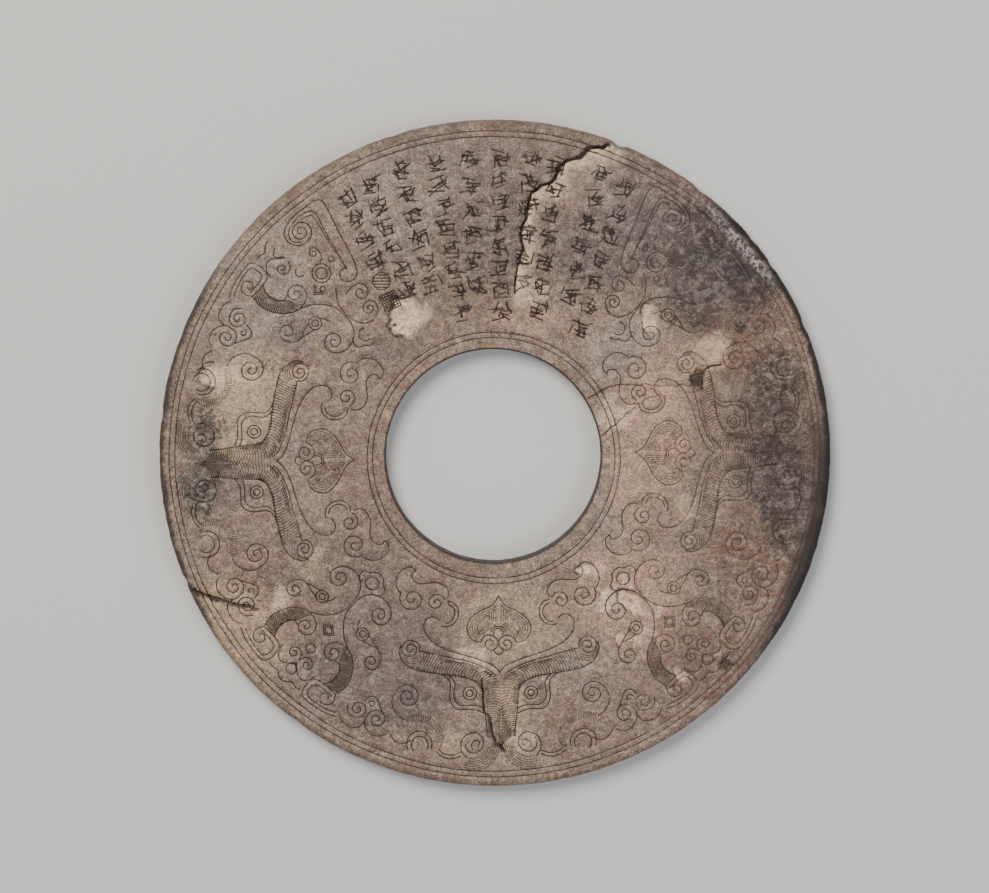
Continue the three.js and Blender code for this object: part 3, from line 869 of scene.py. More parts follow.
def net(pitch, inner, outer, seed, inside=lambda x, y: True):
    randomly = random.Random(seed)
    points = []
    count = math.ceil(outer / pitch)
    for i in range(-count, count + 1):
        for j in range(-count - count // 2, count + count // 2 + 1):
            x = (j + 0.5 * (i % 2)) * pitch + randomly.uniform(-0.3, 0.3) * pitch
            y = i * pitch * math.sqrt(3) / 2 + randomly.uniform(-0.3, 0.3) * pitch
            from_hole = math.hypot(x - HOLE_CENTRE[0], y - HOLE_CENTRE[1])
            if math.hypot(x, y) < outer and from_hole > inner and inside(x, y):
                points.append((x, y))
    return points


def near_damage(x, y):
    return any(math.hypot(x - place[0], y - place[1]) < max(radii) * 1.25 for place, radii, *_ in SPALLS)


def clear_of(drawn_points, candidates, clearance):
    """The candidates that keep this clearance from every drawn point."""
    drawn = kdtree.KDTree(len(drawn_points))
    for i, (x, y) in enumerate(drawn_points):
        drawn.insert((x, y, 0), i)
    drawn.balance()
    return [p for p in candidates if drawn.find((*p, 0))[2] > clearance]


def triangulated(bottoms, edges, others):
    edge_rim = circle((0, 0), DISC_RADIUS - ROUNDING, RIM_COUNT)
    edge_hole = circle(HOLE_CENTRE, HOLE_RADIUS + LIP_ROUNDING, HOLE_COUNT)
    points = [*bottoms, *edge_rim, *edge_hole, *others]
    first_rim = len(bottoms)
    first_hole = first_rim + RIM_COUNT
    loops = [(first_rim + i, first_rim + (i + 1) % RIM_COUNT) for i in range(RIM_COUNT)]
    loops += [(first_hole + i, first_hole + (i + 1) % HOLE_COUNT) for i in range(HOLE_COUNT)]
    flat, _, faces, *_ = geometry.delaunay_2d_cdt([Vector(p) for p in points], [*edges, *loops], [], 0, 1e-4)
    on_hole = {i for i, v in enumerate(flat)
               if abs(math.dist(v, HOLE_CENTRE) - HOLE_RADIUS - LIP_ROUNDING) < 0.01}
    kept = [face for face in faces if not on_hole.issuperset(face)]
    return [tuple(v) for v in flat], kept


# %% The face: cuts, fissures and the net together
def add_fissures(bottoms, edges, lips):
    """The path of each fissure is kept as edges, with rows of points on both sides of it."""
    for fissure in FISSURES.values():
        path = fissure["path"]
        on_face = [math.hypot(*p) < DISC_RADIUS - ROUNDING - 0.3
                   and math.dist(p, HOLE_CENTRE) > HOLE_RADIUS + LIP_ROUNDING + 0.3 for p in path]
        for i, (a, b) in enumerate(zip(path, path[1:])):
            if not on_face[i]:
                continue
            bottoms.append(a)
            if on_face[i + 1] and i + 2 < len(path):
                edges.append((len(bottoms) - 1, len(bottoms)))
            gap = opening(fissure, i / (len(path) - 1), ripple_at(*a))
            run = (Vector(b) - Vector(a)).normalized()
            for offset in (-gap - 0.02, 0.14 - gap, -gap / 2, 0.12, 0.8, 1.6, fissure["flake"][0]):
                lips.append((a[0] - run.y * offset, a[1] + run.x * offset))


def face_plan():
    bottoms, edges, lips = line_points(drawing)
    add_fissures(bottoms, edges, lips)
    inner, outer = HOLE_RADIUS + LIP_ROUNDING + 0.5, DISC_RADIUS - ROUNDING - 0.4
    loose = clear_of(bottoms, net(NET_PITCH, inner, outer, 5), NET_CLEARANCE)
    loose += net(BROKEN_PITCH, inner, outer, 6, near_damage)
    lips = [p for p in lips if math.hypot(*p) < outer and math.dist(p, HOLE_CENTRE) > inner]
    return triangulated(bottoms, edges, lips + loose)


flat_points, face_triangles = face_plan()
print(f"the face has {len(flat_points)} points and {len(face_triangles)} triangles")

# %% [markdown]
# ## Engraving
# A Geometry Nodes tree lowers the flat plan: each point finds the nearest cut, reads that cut's half width
# and depth from its edges, and drops by what a V of that size takes away there. The same depth, in
# millimetres, is kept as "incision", since dirt settles in the cuts.

# %% The tree
engrave, given = new_tree("Engrave", {"Cuts": ("NodeSocketObject", None)})
cuts = add(engrave, "GeometryNodeObjectInfo", {"Object": given["Cuts"]}).outputs["Geometry"]
here = add(engrave, "GeometryNodeInputPosition")
away = add(engrave, "GeometryNodeProximity", {"Geometry": cuts}, target_element="EDGES").outputs["Distance"]
nearest = add(engrave, "GeometryNodeSampleNearest", {"Geometry": cuts, "Sample Position": here},
              domain="EDGE")


def read_from_cut(name):
    attribute = add(engrave, "GeometryNodeInputNamedAttribute", {"Name": name}, data_type="FLOAT")
    return add(engrave, "GeometryNodeSampleIndex", {"Geometry": cuts, "Value": attribute, "Index": nearest},
               data_type="FLOAT", domain="EDGE")


reach = add(engrave, "ShaderNodeMath", [away, read_from_cut("half_width")], operation="DIVIDE")
inwards = add(engrave, "ShaderNodeMath", [1, reach], operation="SUBTRACT")
shape = add(engrave, "ShaderNodeMath", [inwards, 0], operation="MAXIMUM")
cut_here = add(engrave, "ShaderNodeMath", [shape, read_from_cut("depth")], operation="MULTIPLY")
kept_cut = add(engrave, "GeometryNodeStoreNamedAttribute",
               {"Geometry": given["Geometry"], "Name": "incision", "Value": cut_here},
               data_type="FLOAT", domain="POINT")
read_cut = add(engrave, "GeometryNodeInputNamedAttribute", {"Name": "incision"}, data_type="FLOAT")
downwards = add(engrave, "ShaderNodeMath", [read_cut, -1], operation="MULTIPLY")
shift = add(engrave, "ShaderNodeCombineXYZ", {2: downwards})
lowered = add(engrave, "GeometryNodeSetPosition", {"Geometry": kept_cut, "Offset": shift})
finish_tree(engrave, lowered, jade)


def engraved(points, triangles, cut_lines):
    """How deep each point is cut, in millimetres."""
    plan = bpy.data.meshes.new("plan")
    plan.from_pydata([(x, y, 0) for x, y in points], [], triangles)
    lines_object = edges_object("cuts", [line for line, _, _ in cut_lines])
    for name, place in (("half_width", 1), ("depth", 2)):
        values = [cut[place] for cut in cut_lines for _ in range(len(cut[0]) - 1)]
        lines_object.data.attributes.new(name, "FLOAT", "EDGE").data.foreach_set("value", values)
    mesh = evaluated("engraved", engrave, {"Cuts": lines_object}, plan)
    places = np.empty(len(mesh.vertices) * 3)
    mesh.vertices.foreach_get("co", places)
    bpy.data.objects.remove(lines_object)
    bpy.data.meshes.remove(mesh)
    return -places[2::3]


face_cut = engraved(flat_points, face_triangles, drawing)
print(f"deepest cut {face_cut.max():.2f} mm, {np.count_nonzero(face_cut > 0.1)} points in the cuts")

# %% [markdown]
# ## The whole disc
# The face is lifted to its height, waves by a few hundredths of a millimetre and wears down towards the rim.
# Rings of points carry its outline round the worn rim to the back, and down the wall of the hole. The back
# has only the border lines, and lies flat on the table.

# %% Rim and hole profiles
# how far out each ring is, as a part of the rounding, and how high, as a part of the thickness
RIM_STEPS = [(0.62, 0.97), (0.87, 0.86), (0.985, 0.66), (1.0, 0.5), (0.985, 0.33), (0.88, 0.14), (0.6, 0.03)]
HOLE_STEPS = [(0.75, 0.975), (1.0, 0.9), (0.92, 0.7), (0.86, 0.5), (0.95, 0.28), (1.0, 0.1), (0.7, 0.02)]
WEAR_STARTS = 96.9
# place, width and depth
NOTCHES = [((37, 93), 1.3, 0.9), ((-92.8, -37.6), 0.9, 0.5), ((92, 39), 1.8, 0.4), ((-99, 12), 1.6, 0.3),
           ((-60, -80), 1.4, 0.4), ((61, 79), 1.8, 0.4), ((20, -98), 1.2, 0.3), ((-30, 95), 1.2, 0.25),
           ((76, 64), 1.2, 0.45), ((82, 56.5), 1.4, 0.4)]


def rim_inset(x, y):
    """How far the rim stands back, by slow wear, grain and a few notches."""
    worn = 0.12 + 0.12 * noise.noise((x / 14, y / 14, 3.0)) + 0.14 * noise.noise((x / 2.6, y / 2.6, 8.0))
    for place, width, deep in NOTCHES:
        worn += deep * max(0, 1 - (math.dist((x, y), place) / (width * 1.6)) ** 2)
    return max(0.02, worn)


def rim_rings(angles):
    rings = []
    for out, up in RIM_STEPS:
        points = []
        for angle in angles:
            x, y = DISC_RADIUS * math.cos(angle), DISC_RADIUS * math.sin(angle)
            chip = 0.1 * noise.noise((x / 1.4, y / 1.4, up * 5))
            radius = DISC_RADIUS - ROUNDING * (1 - out) - rim_inset(x, y) * (0.35 + 0.65 * out) + chip * out
            radius = min(radius, DISC_RADIUS - 0.02)
            points.append((radius * math.cos(angle), radius * math.sin(angle), up * THICKNESS))
        rings.append(points)
    return rings


def hole_rings(angles):
    rings = []
    for inwards, up in HOLE_STEPS:
        points = []
        for angle in angles:
            grain = 0.12 * noise.noise((9 * math.cos(angle), 9 * math.sin(angle), up * 3))
            radius = HOLE_RADIUS + LIP_ROUNDING * (1 - inwards) + max(0, grain) + 0.03
            points.append((HOLE_CENTRE[0] + radius * math.cos(angle),
                           HOLE_CENTRE[1] + radius * math.sin(angle), up * THICKNESS))
        rings.append(points)
    return rings


# %% The back's plan, and both heights
back_lines = borders([((0, 0), 96.2, 1.4), ((0, 0), 94.6, 1.4),
                      ((-0.2, 0.3), 37.8, 1.4), ((-0.2, 0.3), 36.2, 1.4)])


def back_plan():
    bottoms, edges, lips = line_points(back_lines)
    inner, outer = HOLE_RADIUS + LIP_ROUNDING + 1, DISC_RADIUS - ROUNDING - 0.8
    loose = clear_of(bottoms, net(BACK_PITCH, inner, outer, 8), BACK_CLEARANCE)
    return triangulated(bottoms, edges, lips + loose)


def face_height(points, cut):
    drop, fresh, dark = damage(points)
    waves = np.array([0.5 + 0.5 * noise.noise((x / 23, y / 23, 1.0)) for x, y in points])
    radius = np.hypot(points[:, 0], points[:, 1])
    near_rim = np.clip((radius - WEAR_STARTS) / (DISC_RADIUS - ROUNDING - WEAR_STARTS), 0, 1)
    from_hole = np.hypot(points[:, 0] - HOLE_CENTRE[0], points[:, 1] - HOLE_CENTRE[1])
    near_hole = np.clip(1 - (from_hole - HOLE_RADIUS - LIP_ROUNDING) / 1.2, 0, 1)
    height = THICKNESS - 0.02 - 0.12 * waves - 0.16 * near_rim ** 2 - 0.1 * near_hole ** 2
    buried = np.clip(1 - drop / 0.25, 0.25, 1)
    return height - np.maximum(drop, 0) - cut * buried, fresh, dark


face_points = np.array(flat_points)
face_z, face_fresh, face_dark = face_height(face_points, face_cut)
back_points, back_triangles = back_plan()
back_cut = engraved(back_points, back_triangles, back_lines)
print(f"the back has {len(back_triangles)} triangles")
print(f"the face is {face_z.min():.2f} to {face_z.max():.2f} mm high")

# %% Joining face, rim, hole and back into one closed mesh
def loop_of(points, centre, radius):
    around = [(math.atan2(y - centre[1], x - centre[0]), i) for i, (x, y) in enumerate(points)
              if abs(math.dist((x, y), centre) - radius) < 0.01]
    return [i for _, i in sorted(around)], [angle for angle, _ in sorted(around)]


def joined():
    vertices = [(x, y, z) for (x, y), z in zip(flat_points, face_z)]
    faces = [tuple(f) for f in face_triangles]
    values = {"incision": list(face_cut), "fresh": list(face_fresh), "dark": list(face_dark)}
    first_back = len(vertices)
    vertices += [(x, y, max(0.0, cut)) for (x, y), cut in zip(back_points, back_cut)]
    faces += [tuple(first_back + i for i in reversed(f)) for f in back_triangles]
    for name in values:
        values[name] += list(back_cut) if name == "incision" else [0.0] * len(back_points)
    for centre, radius, rings_of, is_rim in (((0, 0), DISC_RADIUS - ROUNDING, rim_rings, True),
                                             (HOLE_CENTRE, HOLE_RADIUS + LIP_ROUNDING, hole_rings, False)):
        top, angles = loop_of(flat_points, centre, radius)
        bottom, _ = loop_of(back_points, centre, radius)
        loops = [top]
        for points in rings_of(angles):
            loops.append(list(range(len(vertices), len(vertices) + len(points))))
            vertices += points
            for name in values:
                values[name] += [0.0] * len(points)
        loops.append([first_back + i for i in bottom])
        for upper, lower in zip(loops, loops[1:]):
            for a, b, c, d in zip(upper, [*upper[1:], upper[0]], [*lower[1:], lower[0]], lower):
                faces.append((a, d, c, b) if is_rim else (a, b, c, d))
    return vertices, faces, values


def disc_mesh():
    vertices, faces, values = joined()
    mesh = bpy.data.meshes.new("jade bi")
    mesh.from_pydata([Vector(v) * MM for v in vertices], [], faces)
    for name, numbers in values.items():
        mesh.attributes.new(name, "FLOAT", "POINT").data.foreach_set("value", numbers)
    work = bmesh.new()
    work.from_mesh(mesh)
    bmesh.ops.triangulate(work, faces=[f for f in work.faces if len(f.verts) > 3])
    open_edges = [e for e in work.edges if len(e.link_faces) != 2]
    for face in work.faces:
        face.smooth = True
    work.to_mesh(mesh)
    print(f"{len(mesh.polygons)} triangles, {len(open_edges)} open edges, volume "
          f"{work.calc_volume(signed=True) * 1e6:.1f} cm3")
    work.free()
    mesh.materials.append(jade)
    return mesh


disc = bpy.data.objects.new("jade_bi", disc_mesh())
bpy.context.scene.collection.objects.link(disc)
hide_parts(NODE)
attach(disc, "root")

# %% [markdown]
# ## The stone
# Nephrite that has lain in the ground alters: the green turns to warm greys and browns, paler where it has
# whitened, darker where iron has soaked in. Large soft patches, finer mottling and a fine dark grain are
# laid over each other. How deep the stone is cut, where it is freshly broken and where it is dark, with dirt
# and painted shadow, come from the mesh's own values, and the rim, with its patina, painted shade and painted
# highlight, and the lip of the hole from the distance to the middle.

# %% Colours and the patches
def linear(hex_colour):
    channels = [int(hex_colour[i:i + 2], 16) / 255 for i in (1, 3, 5)]
    return (*[c / 12.92 if c <= 0.04045 else ((c + 0.055) / 1.055) ** 2.4 for c in channels], 1.0)


BASE_BROWN = "#846d5d"
WARM_BEIGE = "#b1977a"
PINK_BEIGE = "#b08d75"
GREY_PURPLE = "#695a56"
DEEP_BROWN = "#443531"
PALE_GREY = "#9d8f83"
CREAM = "#ebcdab"
DIRT_AND_SHADOW = "#21170f"
PATINA_AND_SHADE = "#241a16"
CHALK_AND_HIGHLIGHT = "#a9a29d"
RED_BROWN = "#715546"
MINERAL_BLACK = "#25251f"
STAIN = "#271b12"
PALE_PINK = "#cdaf97"
MOSS_GREY = "#625c52"
DARK_PURPLE = "#463a39"

# place in millimetres, radii along and across, turn in degrees, colour, strength
PATCHES = [
    ((-74, 16), (22, 11), 70, WARM_BEIGE, 0.85),
    ((-76, -52), (20, 13), 125, WARM_BEIGE, 0.75),
    ((-38, 12), (12, 24), 0, BASE_BROWN, 0.4),
    ((-72, 50), (16, 26), -40, PALE_GREY, 0.35),
    ((-28, 78), (26, 14), 20, PALE_GREY, 0.3),
    ((2, 66), (20, 16), 0, GREY_PURPLE, 0.6),
    ((34, 62), (17, 16), 0, GREY_PURPLE, 0.7),
    ((63, 55), (17, 26), 45, DEEP_BROWN, 0.85),
    ((46, 76), (18, 12), -32, GREY_PURPLE, 0.75),
    ((4, 88), (42, 10), -3, GREY_PURPLE, 0.45),
    ((75, 34), (15, 12), 30, RED_BROWN, 0.8),
    ((82, 2), (15, 28), 5, DEEP_BROWN, 0.6),
    ((76, -30), (17, 18), 20, RED_BROWN, 0.8),
    ((46, 6), (13, 30), -10, PINK_BEIGE, 0.85),
    ((36, 32), (13, 9), 35, PALE_GREY, 0.5),
    ((40, -42), (22, 18), -35, PINK_BEIGE, 0.8),
    ((64, -62), (20, 14), -45, RED_BROWN, 0.65),
    ((4, -50), (20, 13), 0, WARM_BEIGE, 0.6),
    ((-32, -62), (28, 22), 15, GREY_PURPLE, 0.6),
    ((-50, -34), (18, 14), -40, GREY_PURPLE, 0.35),
    ((-80, -8), (9, 10), 0, GREY_PURPLE, 0.6),
    ((28, -78), (22, 12), 15, BASE_BROWN, 0.4),
    ((33, 62), (16, 15), 0, GREY_PURPLE, 0.35),
    ((-31, 33), (10, 8), 40, GREY_PURPLE, 0.45),
    ((-34, -33), (12, 10), 40, GREY_PURPLE, 0.35),
    ((-30, -70), (22, 14), 20, GREY_PURPLE, 0.35),
    ((4.5, -77), (4.5, 12), 4, WARM_BEIGE, 0.9),
    ((-6, -60.5), (7, 3.8), -25, PALE_PINK, 0.9),
    ((9.4, -86.5), (3.5, 4), 0, PALE_PINK, 0.7),
    ((-24, -76), (13, 9), 20, GREY_PURPLE, 0.5),
    ((-11.5, -87.5), (6, 4.5), 20, WARM_BEIGE, 0.8),
    ((-60, 37), (9, 6), 20, GREY_PURPLE, 0.6),
    ((-77, 24), (11, 5.5), 10, CREAM, 0.35),
    ((10.5, 49), (4.5, 3.5), 0, PALE_PINK, 0.85),
    ((40, -38), (3.2, 3), 0, PALE_PINK, 0.7),
    ((35, 13), (6.5, 4.5), 35, PALE_PINK, 0.85),
    ((34, -43), (5.5, 2.6), 20, PALE_PINK, 0.8),
    ((44, -54), (4.5, 2.2), 40, PALE_PINK, 0.8),
    ((49, -47), (3.6, 2), 60, PALE_PINK, 0.7),
    ((29, -34), (4.5, 2), 10, PALE_PINK, 0.9),
    ((57, -15), (4, 3), 40, WARM_BEIGE, 0.8),
    ((-88, -10), (6, 9), 0, MOSS_GREY, 0.85),
    ((-86, 6), (5, 7), 20, MOSS_GREY, 0.6),
    ((-60, 24), (9, 4), 10, WARM_BEIGE, 0.8),
    ((-64, -43), (5, 3), 60, PALE_PINK, 0.7),
    ((-55, -33), (7, 3), 70, WARM_BEIGE, 0.6),
    ((63, 31), (8, 6), 20, PINK_BEIGE, 0.9),
    ((47, 41), (7, 4), 15, WARM_BEIGE, 0.5),
    ((11, 41), (14, 5), -8, PINK_BEIGE, 0.6),
    ((69, 61), (22, 9), -49, DARK_PURPLE, 0.95),
    ((62, 62), (9, 12), 0, DARK_PURPLE, 0.6),
    ((52, 50), (6, 8), 20, GREY_PURPLE, 0.6),
    ((84, 20), (10, 15), 0, DEEP_BROWN, 0.5),
    ((87, -14), (9, 24), 12, DARK_PURPLE, 0.7),
]

# place, radii, how many black specks, how many pale ones
ROUGH_AREAS = [
    ((-86, 8), (8, 10), 0.75, 0.5), ((-87, -12), (6, 8), 0.85, 0.4), ((85, -8), (12, 24), 0.5, 0.45),
    ((84, 22), (10, 9), 0.6, 0.3), ((-60, -62), (16, 12), 0.3, 0.2), ((-72, -38), (7, 6), 0.5, 0.1),
    ((2, 62), (44, 20), 0.4, 0.2), ((54, 42), (8, 6), 0.6, 0.5), ((75, 27), (3, 2), 0.9, 0.0),
    ((-67, 26), (10, 4), 0.55, 0.5), ((69, -62), (3, 2.4), 0.9, 0.1),
]

print(f"{len(PATCHES)} patches and {len(ROUGH_AREAS)} rough areas")

# %% [markdown]
# ## Layers of colour
# Every layer is a colour laid over the ones below through masks. A mask is a soft step in some value: in
# noise with grains of a given size, in the distance from the middle of a patch, or in one of the mesh's own
# values. The patches work out their distance with a few vector sums. A Mapping node for each would do the
# same, but dozens of them are more than a shader can hold in Cycles, and the disc comes out black.

# %% What the layers are made with
# the material gives the eye an old, faintly waxy stone: mottled, dry where broken, dark where dirt settled,
# with painted shadow in cracks and pits, painted shade on the rim and a painted highlight on the rim at the
# upper right
jade.use_nodes = True
stone = jade.node_tree
stone.nodes.clear()
where = add(stone, "ShaderNodeTexCoord").outputs["Object"]
in_mm = add(stone, "ShaderNodeVectorMath", {0: where, "Scale": 1 / MM}, operation="SCALE")


def grain(size, detail, roughness=0.6, bend=0.0):
    """What a noise node is given for grains of about this many millimetres."""
    return {"Vector": in_mm, "Scale": 1 / size, "Detail": detail, "Roughness": roughness, "Distortion": bend}


def mask(source, low_end, high_end, least=0.0, most=1.0):
    """A soft step in a value, or in the noise of a grain."""
    if isinstance(source, dict):
        source = add(stone, "ShaderNodeTexNoise", source)
    return add(stone, "ShaderNodeMapRange", [source, low_end, high_end, least, most],
               interpolation_type="SMOOTHSTEP")


def together(*masks):
    """Masks multiplied, so that all of them have to hold."""
    result = masks[0]
    for one_mask in masks[1:]:
        result = add(stone, "ShaderNodeMath", [result, one_mask], operation="MULTIPLY")
    return result


def layer(under, over, *masks):
    """Lays one colour over another where all the masks hold."""
    over = linear(over) if isinstance(over, str) else over
    return add(stone, "ShaderNodeMix", {0: together(*masks), 6: under, 7: over}, data_type="RGBA").outputs[2]


def swing(source, amount):
    """Noise as a gain about 1."""
    return mask(source, 0.25, 0.75, 1 - amount, 1 + amount)


def from_middle(places, middle, radii=(1, 1), turn=0):
    """Distance from the middle of an ellipse on the face, 1 on its edge."""
    c, s = math.cos(math.radians(turn)), math.sin(math.radians(turn))
    off = add(stone, "ShaderNodeVectorMath", [places, (*middle, 0)], operation="SUBTRACT")
    axes = [(c / radii[0], s / radii[0], 0), (-s / radii[1], c / radii[1], 0)]
    parts = [add(stone, "ShaderNodeVectorMath", [off, axis], operation="DOT_PRODUCT").outputs["Value"]
             for axis in axes]
    flat = add(stone, "ShaderNodeCombineXYZ", parts)
    return add(stone, "ShaderNodeVectorMath", [flat], operation="LENGTH").outputs["Value"]


# %% Where on the disc: ragged places for the patches, and how far east, north and out
STRAY = 15.0  # how far in millimetres the outlines of patches wander
drift = add(stone, "ShaderNodeTexNoise", grain(9, 6.0, 0.68)).outputs["Color"]
about_zero = add(stone, "ShaderNodeVectorMath", [drift, (0.5, 0.5, 0.5)], operation="SUBTRACT")
wander = add(stone, "ShaderNodeVectorMath", {0: about_zero, "Scale": STRAY}, operation="SCALE")
strayed = add(stone, "ShaderNodeVectorMath", [in_mm, wander], operation="ADD")
east, north, height = add(stone, "ShaderNodeSeparateXYZ", [in_mm]).outputs
on_face = mask(height, 3.2, 5.6)
ripple_noise = add(stone, "ShaderNodeTexNoise", grain(5, 5, 0.7))
ripple = add(stone, "ShaderNodeMath", [ripple_noise, 0.5], operation="SUBTRACT")
wide_ripple = add(stone, "ShaderNodeMath", [ripple, 4.0], operation="MULTIPLY")
ragged_radius = add(stone, "ShaderNodeMath", [from_middle(in_mm, (0, 0)), wide_ripple], operation="ADD")

# %% The altered stone: mottling, the large patches, and a grain that is finer still
colour = layer(linear(BASE_BROWN), PALE_GREY, mask(grain(24, 4), 0.45, 0.75, 0.0, 0.5))
colour = layer(colour, GREY_PURPLE, mask(grain(7.5, 7, 0.72, 0.7), 0.52, 0.66, 0.0, 0.55))
colour = layer(colour, WARM_BEIGE, mask(grain(10, 6, 0.7, 0.8), 0.55, 0.66, 0.0, 0.55))
colour = layer(colour, DEEP_BROWN, mask(grain(6, 6, 0.72, 0.7), 0.6, 0.74, 0.0, 0.5))
for place, radii, turn, patch_colour, strength in PATCHES:
    inside = mask(from_middle(strayed, place, radii, turn), 0.55, 1.2, strength, 0.0)
    colour = layer(colour, patch_colour, inside, on_face)
colour = layer(colour, PALE_GREY, mask(grain(3.2, 6, 0.7, 0.5), 0.48, 0.6, 0.0, 0.5),
               mask(grain(14, 3), 0.35, 0.6, 0.4, 1.0))
gain = together(swing(grain(0.5, 2), 0.5), swing(grain(1.2, 3, 0.65), 0.34), swing(grain(3.6, 4, 0.65), 0.22))
colour = add(stone, "ShaderNodeHueSaturation", {"Color": colour, "Value": gain})
colour = layer(colour, DIRT_AND_SHADOW, mask(grain(0.8, 3, 0.7), 0.6, 0.72, 0.0, 0.55))
print(f"{len(stone.nodes)} nodes with the patches")

# %% Rough areas: black and pale specks
black_noise = add(stone, "ShaderNodeTexNoise", grain(1.5, 6, 0.8))
black_specks = mask(black_noise, 0.47, 0.56)
pale_specks = mask(grain(1.0, 6, 0.8), 0.55, 0.62)
for place, radii, black, white in ROUGH_AREAS:
    near = together(mask(from_middle(strayed, place, radii), 0.5, 1.2, 1.0, 0.0), on_face)
    colour = layer(colour, MINERAL_BLACK, near, black_specks, black)
    colour = layer(colour, PALE_GREY, near, pale_specks, white)
print(f"{len(stone.nodes)} nodes with the rough areas")

# %% Broken stone, dirt and painted shadow in cracks and pits, and dirt in cuts
fresh, dark, incision = [add(stone, "ShaderNodeAttribute", attribute_name=name).outputs["Fac"]
                         for name in ("fresh", "dark", "incision")]
broken = layer(linear(CREAM), PINK_BEIGE, mask(grain(2.2, 6, 0.75), 0.46, 0.66))
broken = layer(broken, BASE_BROWN, mask(grain(0.9, 4, 0.7), 0.55, 0.63, 0.0, 0.7))
broken_gain = together(swing(black_noise, 0.4), swing(grain(0.5, 3, 0.7), 0.3))
broken = add(stone, "ShaderNodeHueSaturation", {"Color": broken, "Value": broken_gain})
colour = layer(colour, broken, fresh, mask(grain(2.6, 5, 0.7), 0.34, 0.56, 0.55, 1.0))
# dirt and painted shadow where the dark values hold: open cracks, pits and the west edges of spalls
colour = layer(colour, DIRT_AND_SHADOW, dark, mask(grain(1.2, 3), 0.2, 0.6, 0.5, 1.0))
# the cuts are stained brown, less towards the east, and whitened in the dark patch at the upper right
whitened = mask(from_middle(strayed, (62, 52), (24, 9), -50), 0.6, 1.1, 0.6, 0.0)
fill = layer(linear(STAIN), CHALK_AND_HIGHLIGHT, whitened, mask(grain(3, 4), 0.4, 0.55))
worn_stain = together(mask(grain(4.5, 5, 0.7), 0.32, 0.54, 0.6, 1.0), mask(east, 28, 62, 1.0, 0.72))
colour = layer(colour, fill, mask(incision, 0.0, 0.15), worn_stain)

# %% The rim, with patina, painted shade at its sides and a painted highlight at the upper right, and the lip of the hole
# painted shade over the stone's patina: two dark bands on the rim at the right and the lower right
colour = layer(colour, DEEP_BROWN, mask(ragged_radius, 91.5, 97), mask(east, 66, 88), mask(north, 30, 0), 0.8)
colour = layer(colour, PATINA_AND_SHADE, mask(ragged_radius, 94, 97.5), mask(east, 78, 92), mask(north, 12, -6), 0.7)
# painted highlight: pale sparkling specks in a thin band along the rim at the upper right
rim_highlight = mask(from_middle(in_mm, (72.6, 63.1), (17, 1.8), -49), 0.5, 1.3, 1.0, 0.0)
colour = layer(colour, CHALK_AND_HIGHLIGHT, rim_highlight, mask(grain(1.3, 6, 0.8), 0.48, 0.56))
# the very rim: dark patina all round at a third of full strength, deepened with painted shade at the right
# and left sides
right_edge = together(mask(east, 50, 74), mask(north, -66, -50), mask(north, 84, 70))
left_edge = mask(east, -76, -88, 0.0, 0.85)
either_edge = add(stone, "ShaderNodeMath", [right_edge, left_edge], operation="MAXIMUM")
edge_here = add(stone, "ShaderNodeMath", [0.3, either_edge], operation="MAXIMUM")
colour = layer(colour, PATINA_AND_SHADE, mask(ragged_radius, 97.4, 98.9), edge_here, 0.95)
from_hole = from_middle(in_mm, HOLE_CENTRE)
colour = layer(colour, PATINA_AND_SHADE, mask(from_hole, HOLE_RADIUS + 0.35, HOLE_RADIUS + 0.9, 0.85, 0.0))
print(f"{len(stone.nodes)} nodes with the rim and the hole")

# %% The surface: fine and coarse unevenness, and a waxy gloss that comes and goes
fine_relief = add(stone, "ShaderNodeTexNoise", grain(0.7, 4, 0.65))
coarse_relief = add(stone, "ShaderNodeTexNoise", grain(3.5, 5, 0.65))
bumps = add(stone, "ShaderNodeBump", {"Strength": 0.8, "Distance": 0.16 * MM, "Height": fine_relief})
bumps = add(stone, "ShaderNodeBump", {
    "Strength": 0.6, "Distance": 0.5 * MM, "Height": coarse_relief, "Normal": bumps})
shader = add(stone, "ShaderNodeBsdfPrincipled", {
    "Base Color": colour, "Roughness": mask(grain(6, 3), 0.3, 0.7, 0.5, 0.68),
    "Normal": bumps, "IOR": 1.5, "Specular IOR Level": 0.35})
add(stone, "ShaderNodeOutputMaterial", {"Surface": shader})
print(f"{len(stone.nodes)} nodes in the whole material")

# %% [markdown]
# ## Floor, light and camera
# The disc lies on a pale floor. One large soft light hangs above and a little towards the top of the disc,
# a weaker one fills from the lower left, and the camera looks almost straight down through a long lens.

# %% Floor
FLOOR_GREY = "#d9d7d3"
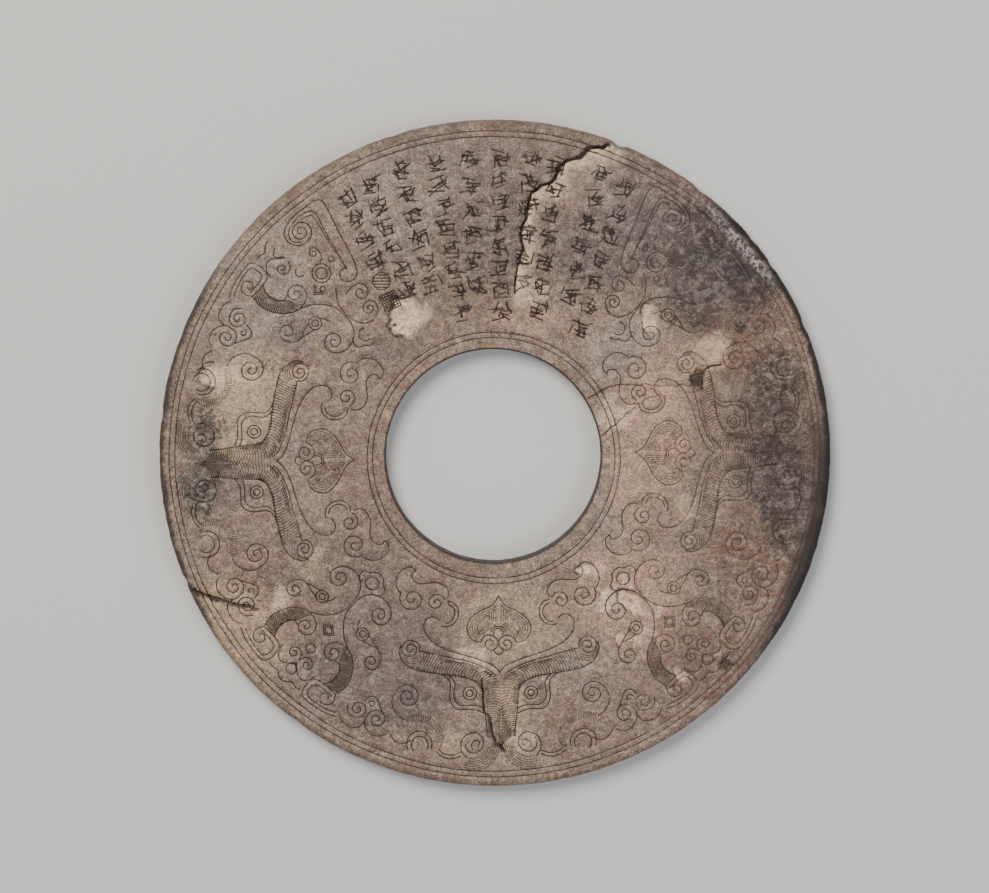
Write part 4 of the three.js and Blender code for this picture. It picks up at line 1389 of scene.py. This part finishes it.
# it gives the eye matt paper that takes the disc's soft shadow
paper = bpy.data.materials.new("matt pale paper")
paper.use_nodes = True
paper_shader = paper.node_tree.nodes["Principled BSDF"]
paper_shader.inputs["Base Color"].default_value = linear(FLOOR_GREY)
paper_shader.inputs["Roughness"].default_value = 0.9
floor_mesh = bpy.data.meshes.new("floor")
FLOOR_HALF = 2.0
floor_mesh.from_pydata([(-FLOOR_HALF, -FLOOR_HALF, 0), (FLOOR_HALF, -FLOOR_HALF, 0),
                        (FLOOR_HALF, FLOOR_HALF, 0), (-FLOOR_HALF, FLOOR_HALF, 0)], [], [(0, 1, 2, 3)])
floor_mesh.materials.append(paper)
floor = bpy.data.objects.new("floor", floor_mesh)
bpy.context.scene.collection.objects.link(floor)
print(f"the floor is {2 * FLOOR_HALF:.0f} m across")

# %% Lights
CENTRE = Vector((0, 0, THICKNESS * MM / 2))


def soft_light(name, place, size, watts, colour_hex):
    data = bpy.data.lights.new(name, "AREA")
    data.shape = "DISK"
    data.size = size
    data.energy = watts
    data.color = linear(colour_hex)[:3]
    light = bpy.data.objects.new(name, data)
    light.location = place
    light.rotation_euler = (CENTRE - Vector(place)).to_track_quat("-Z", "Y").to_euler()
    bpy.context.scene.collection.objects.link(light)
    return light


soft_light("large window", (-0.55, 0.85, 1.25), 0.9, 26, "#fffaf2")
soft_light("fill", (0.9, -0.5, 1.0), 1.2, 9, "#f3f6ff")
world = bpy.data.worlds.new("studio")
world.use_nodes = True
world.node_tree.nodes["Background"].inputs["Color"].default_value = linear("#e8e9ec")
world.node_tree.nodes["Background"].inputs["Strength"].default_value = 0.35
bpy.context.scene.world = world
print("two soft lights and a pale room")

# %% Camera
LENS = 147
DISTANCE = 1.2
LEAN = math.radians(6.8)
lens = bpy.data.cameras.new("long lens")
lens.lens = LENS
lens.sensor_width = 36
camera = bpy.data.objects.new("camera", lens)
aim = Vector((-0.0001, 0.0031, THICKNESS * MM))
camera.location = aim + Vector((0, math.sin(LEAN), math.cos(LEAN))) * DISTANCE
camera.rotation_euler = (-LEAN, 0, 0)
bpy.context.scene.collection.objects.link(camera)
bpy.context.scene.camera = camera
print(f"a {LENS} mm lens from {DISTANCE} m away")
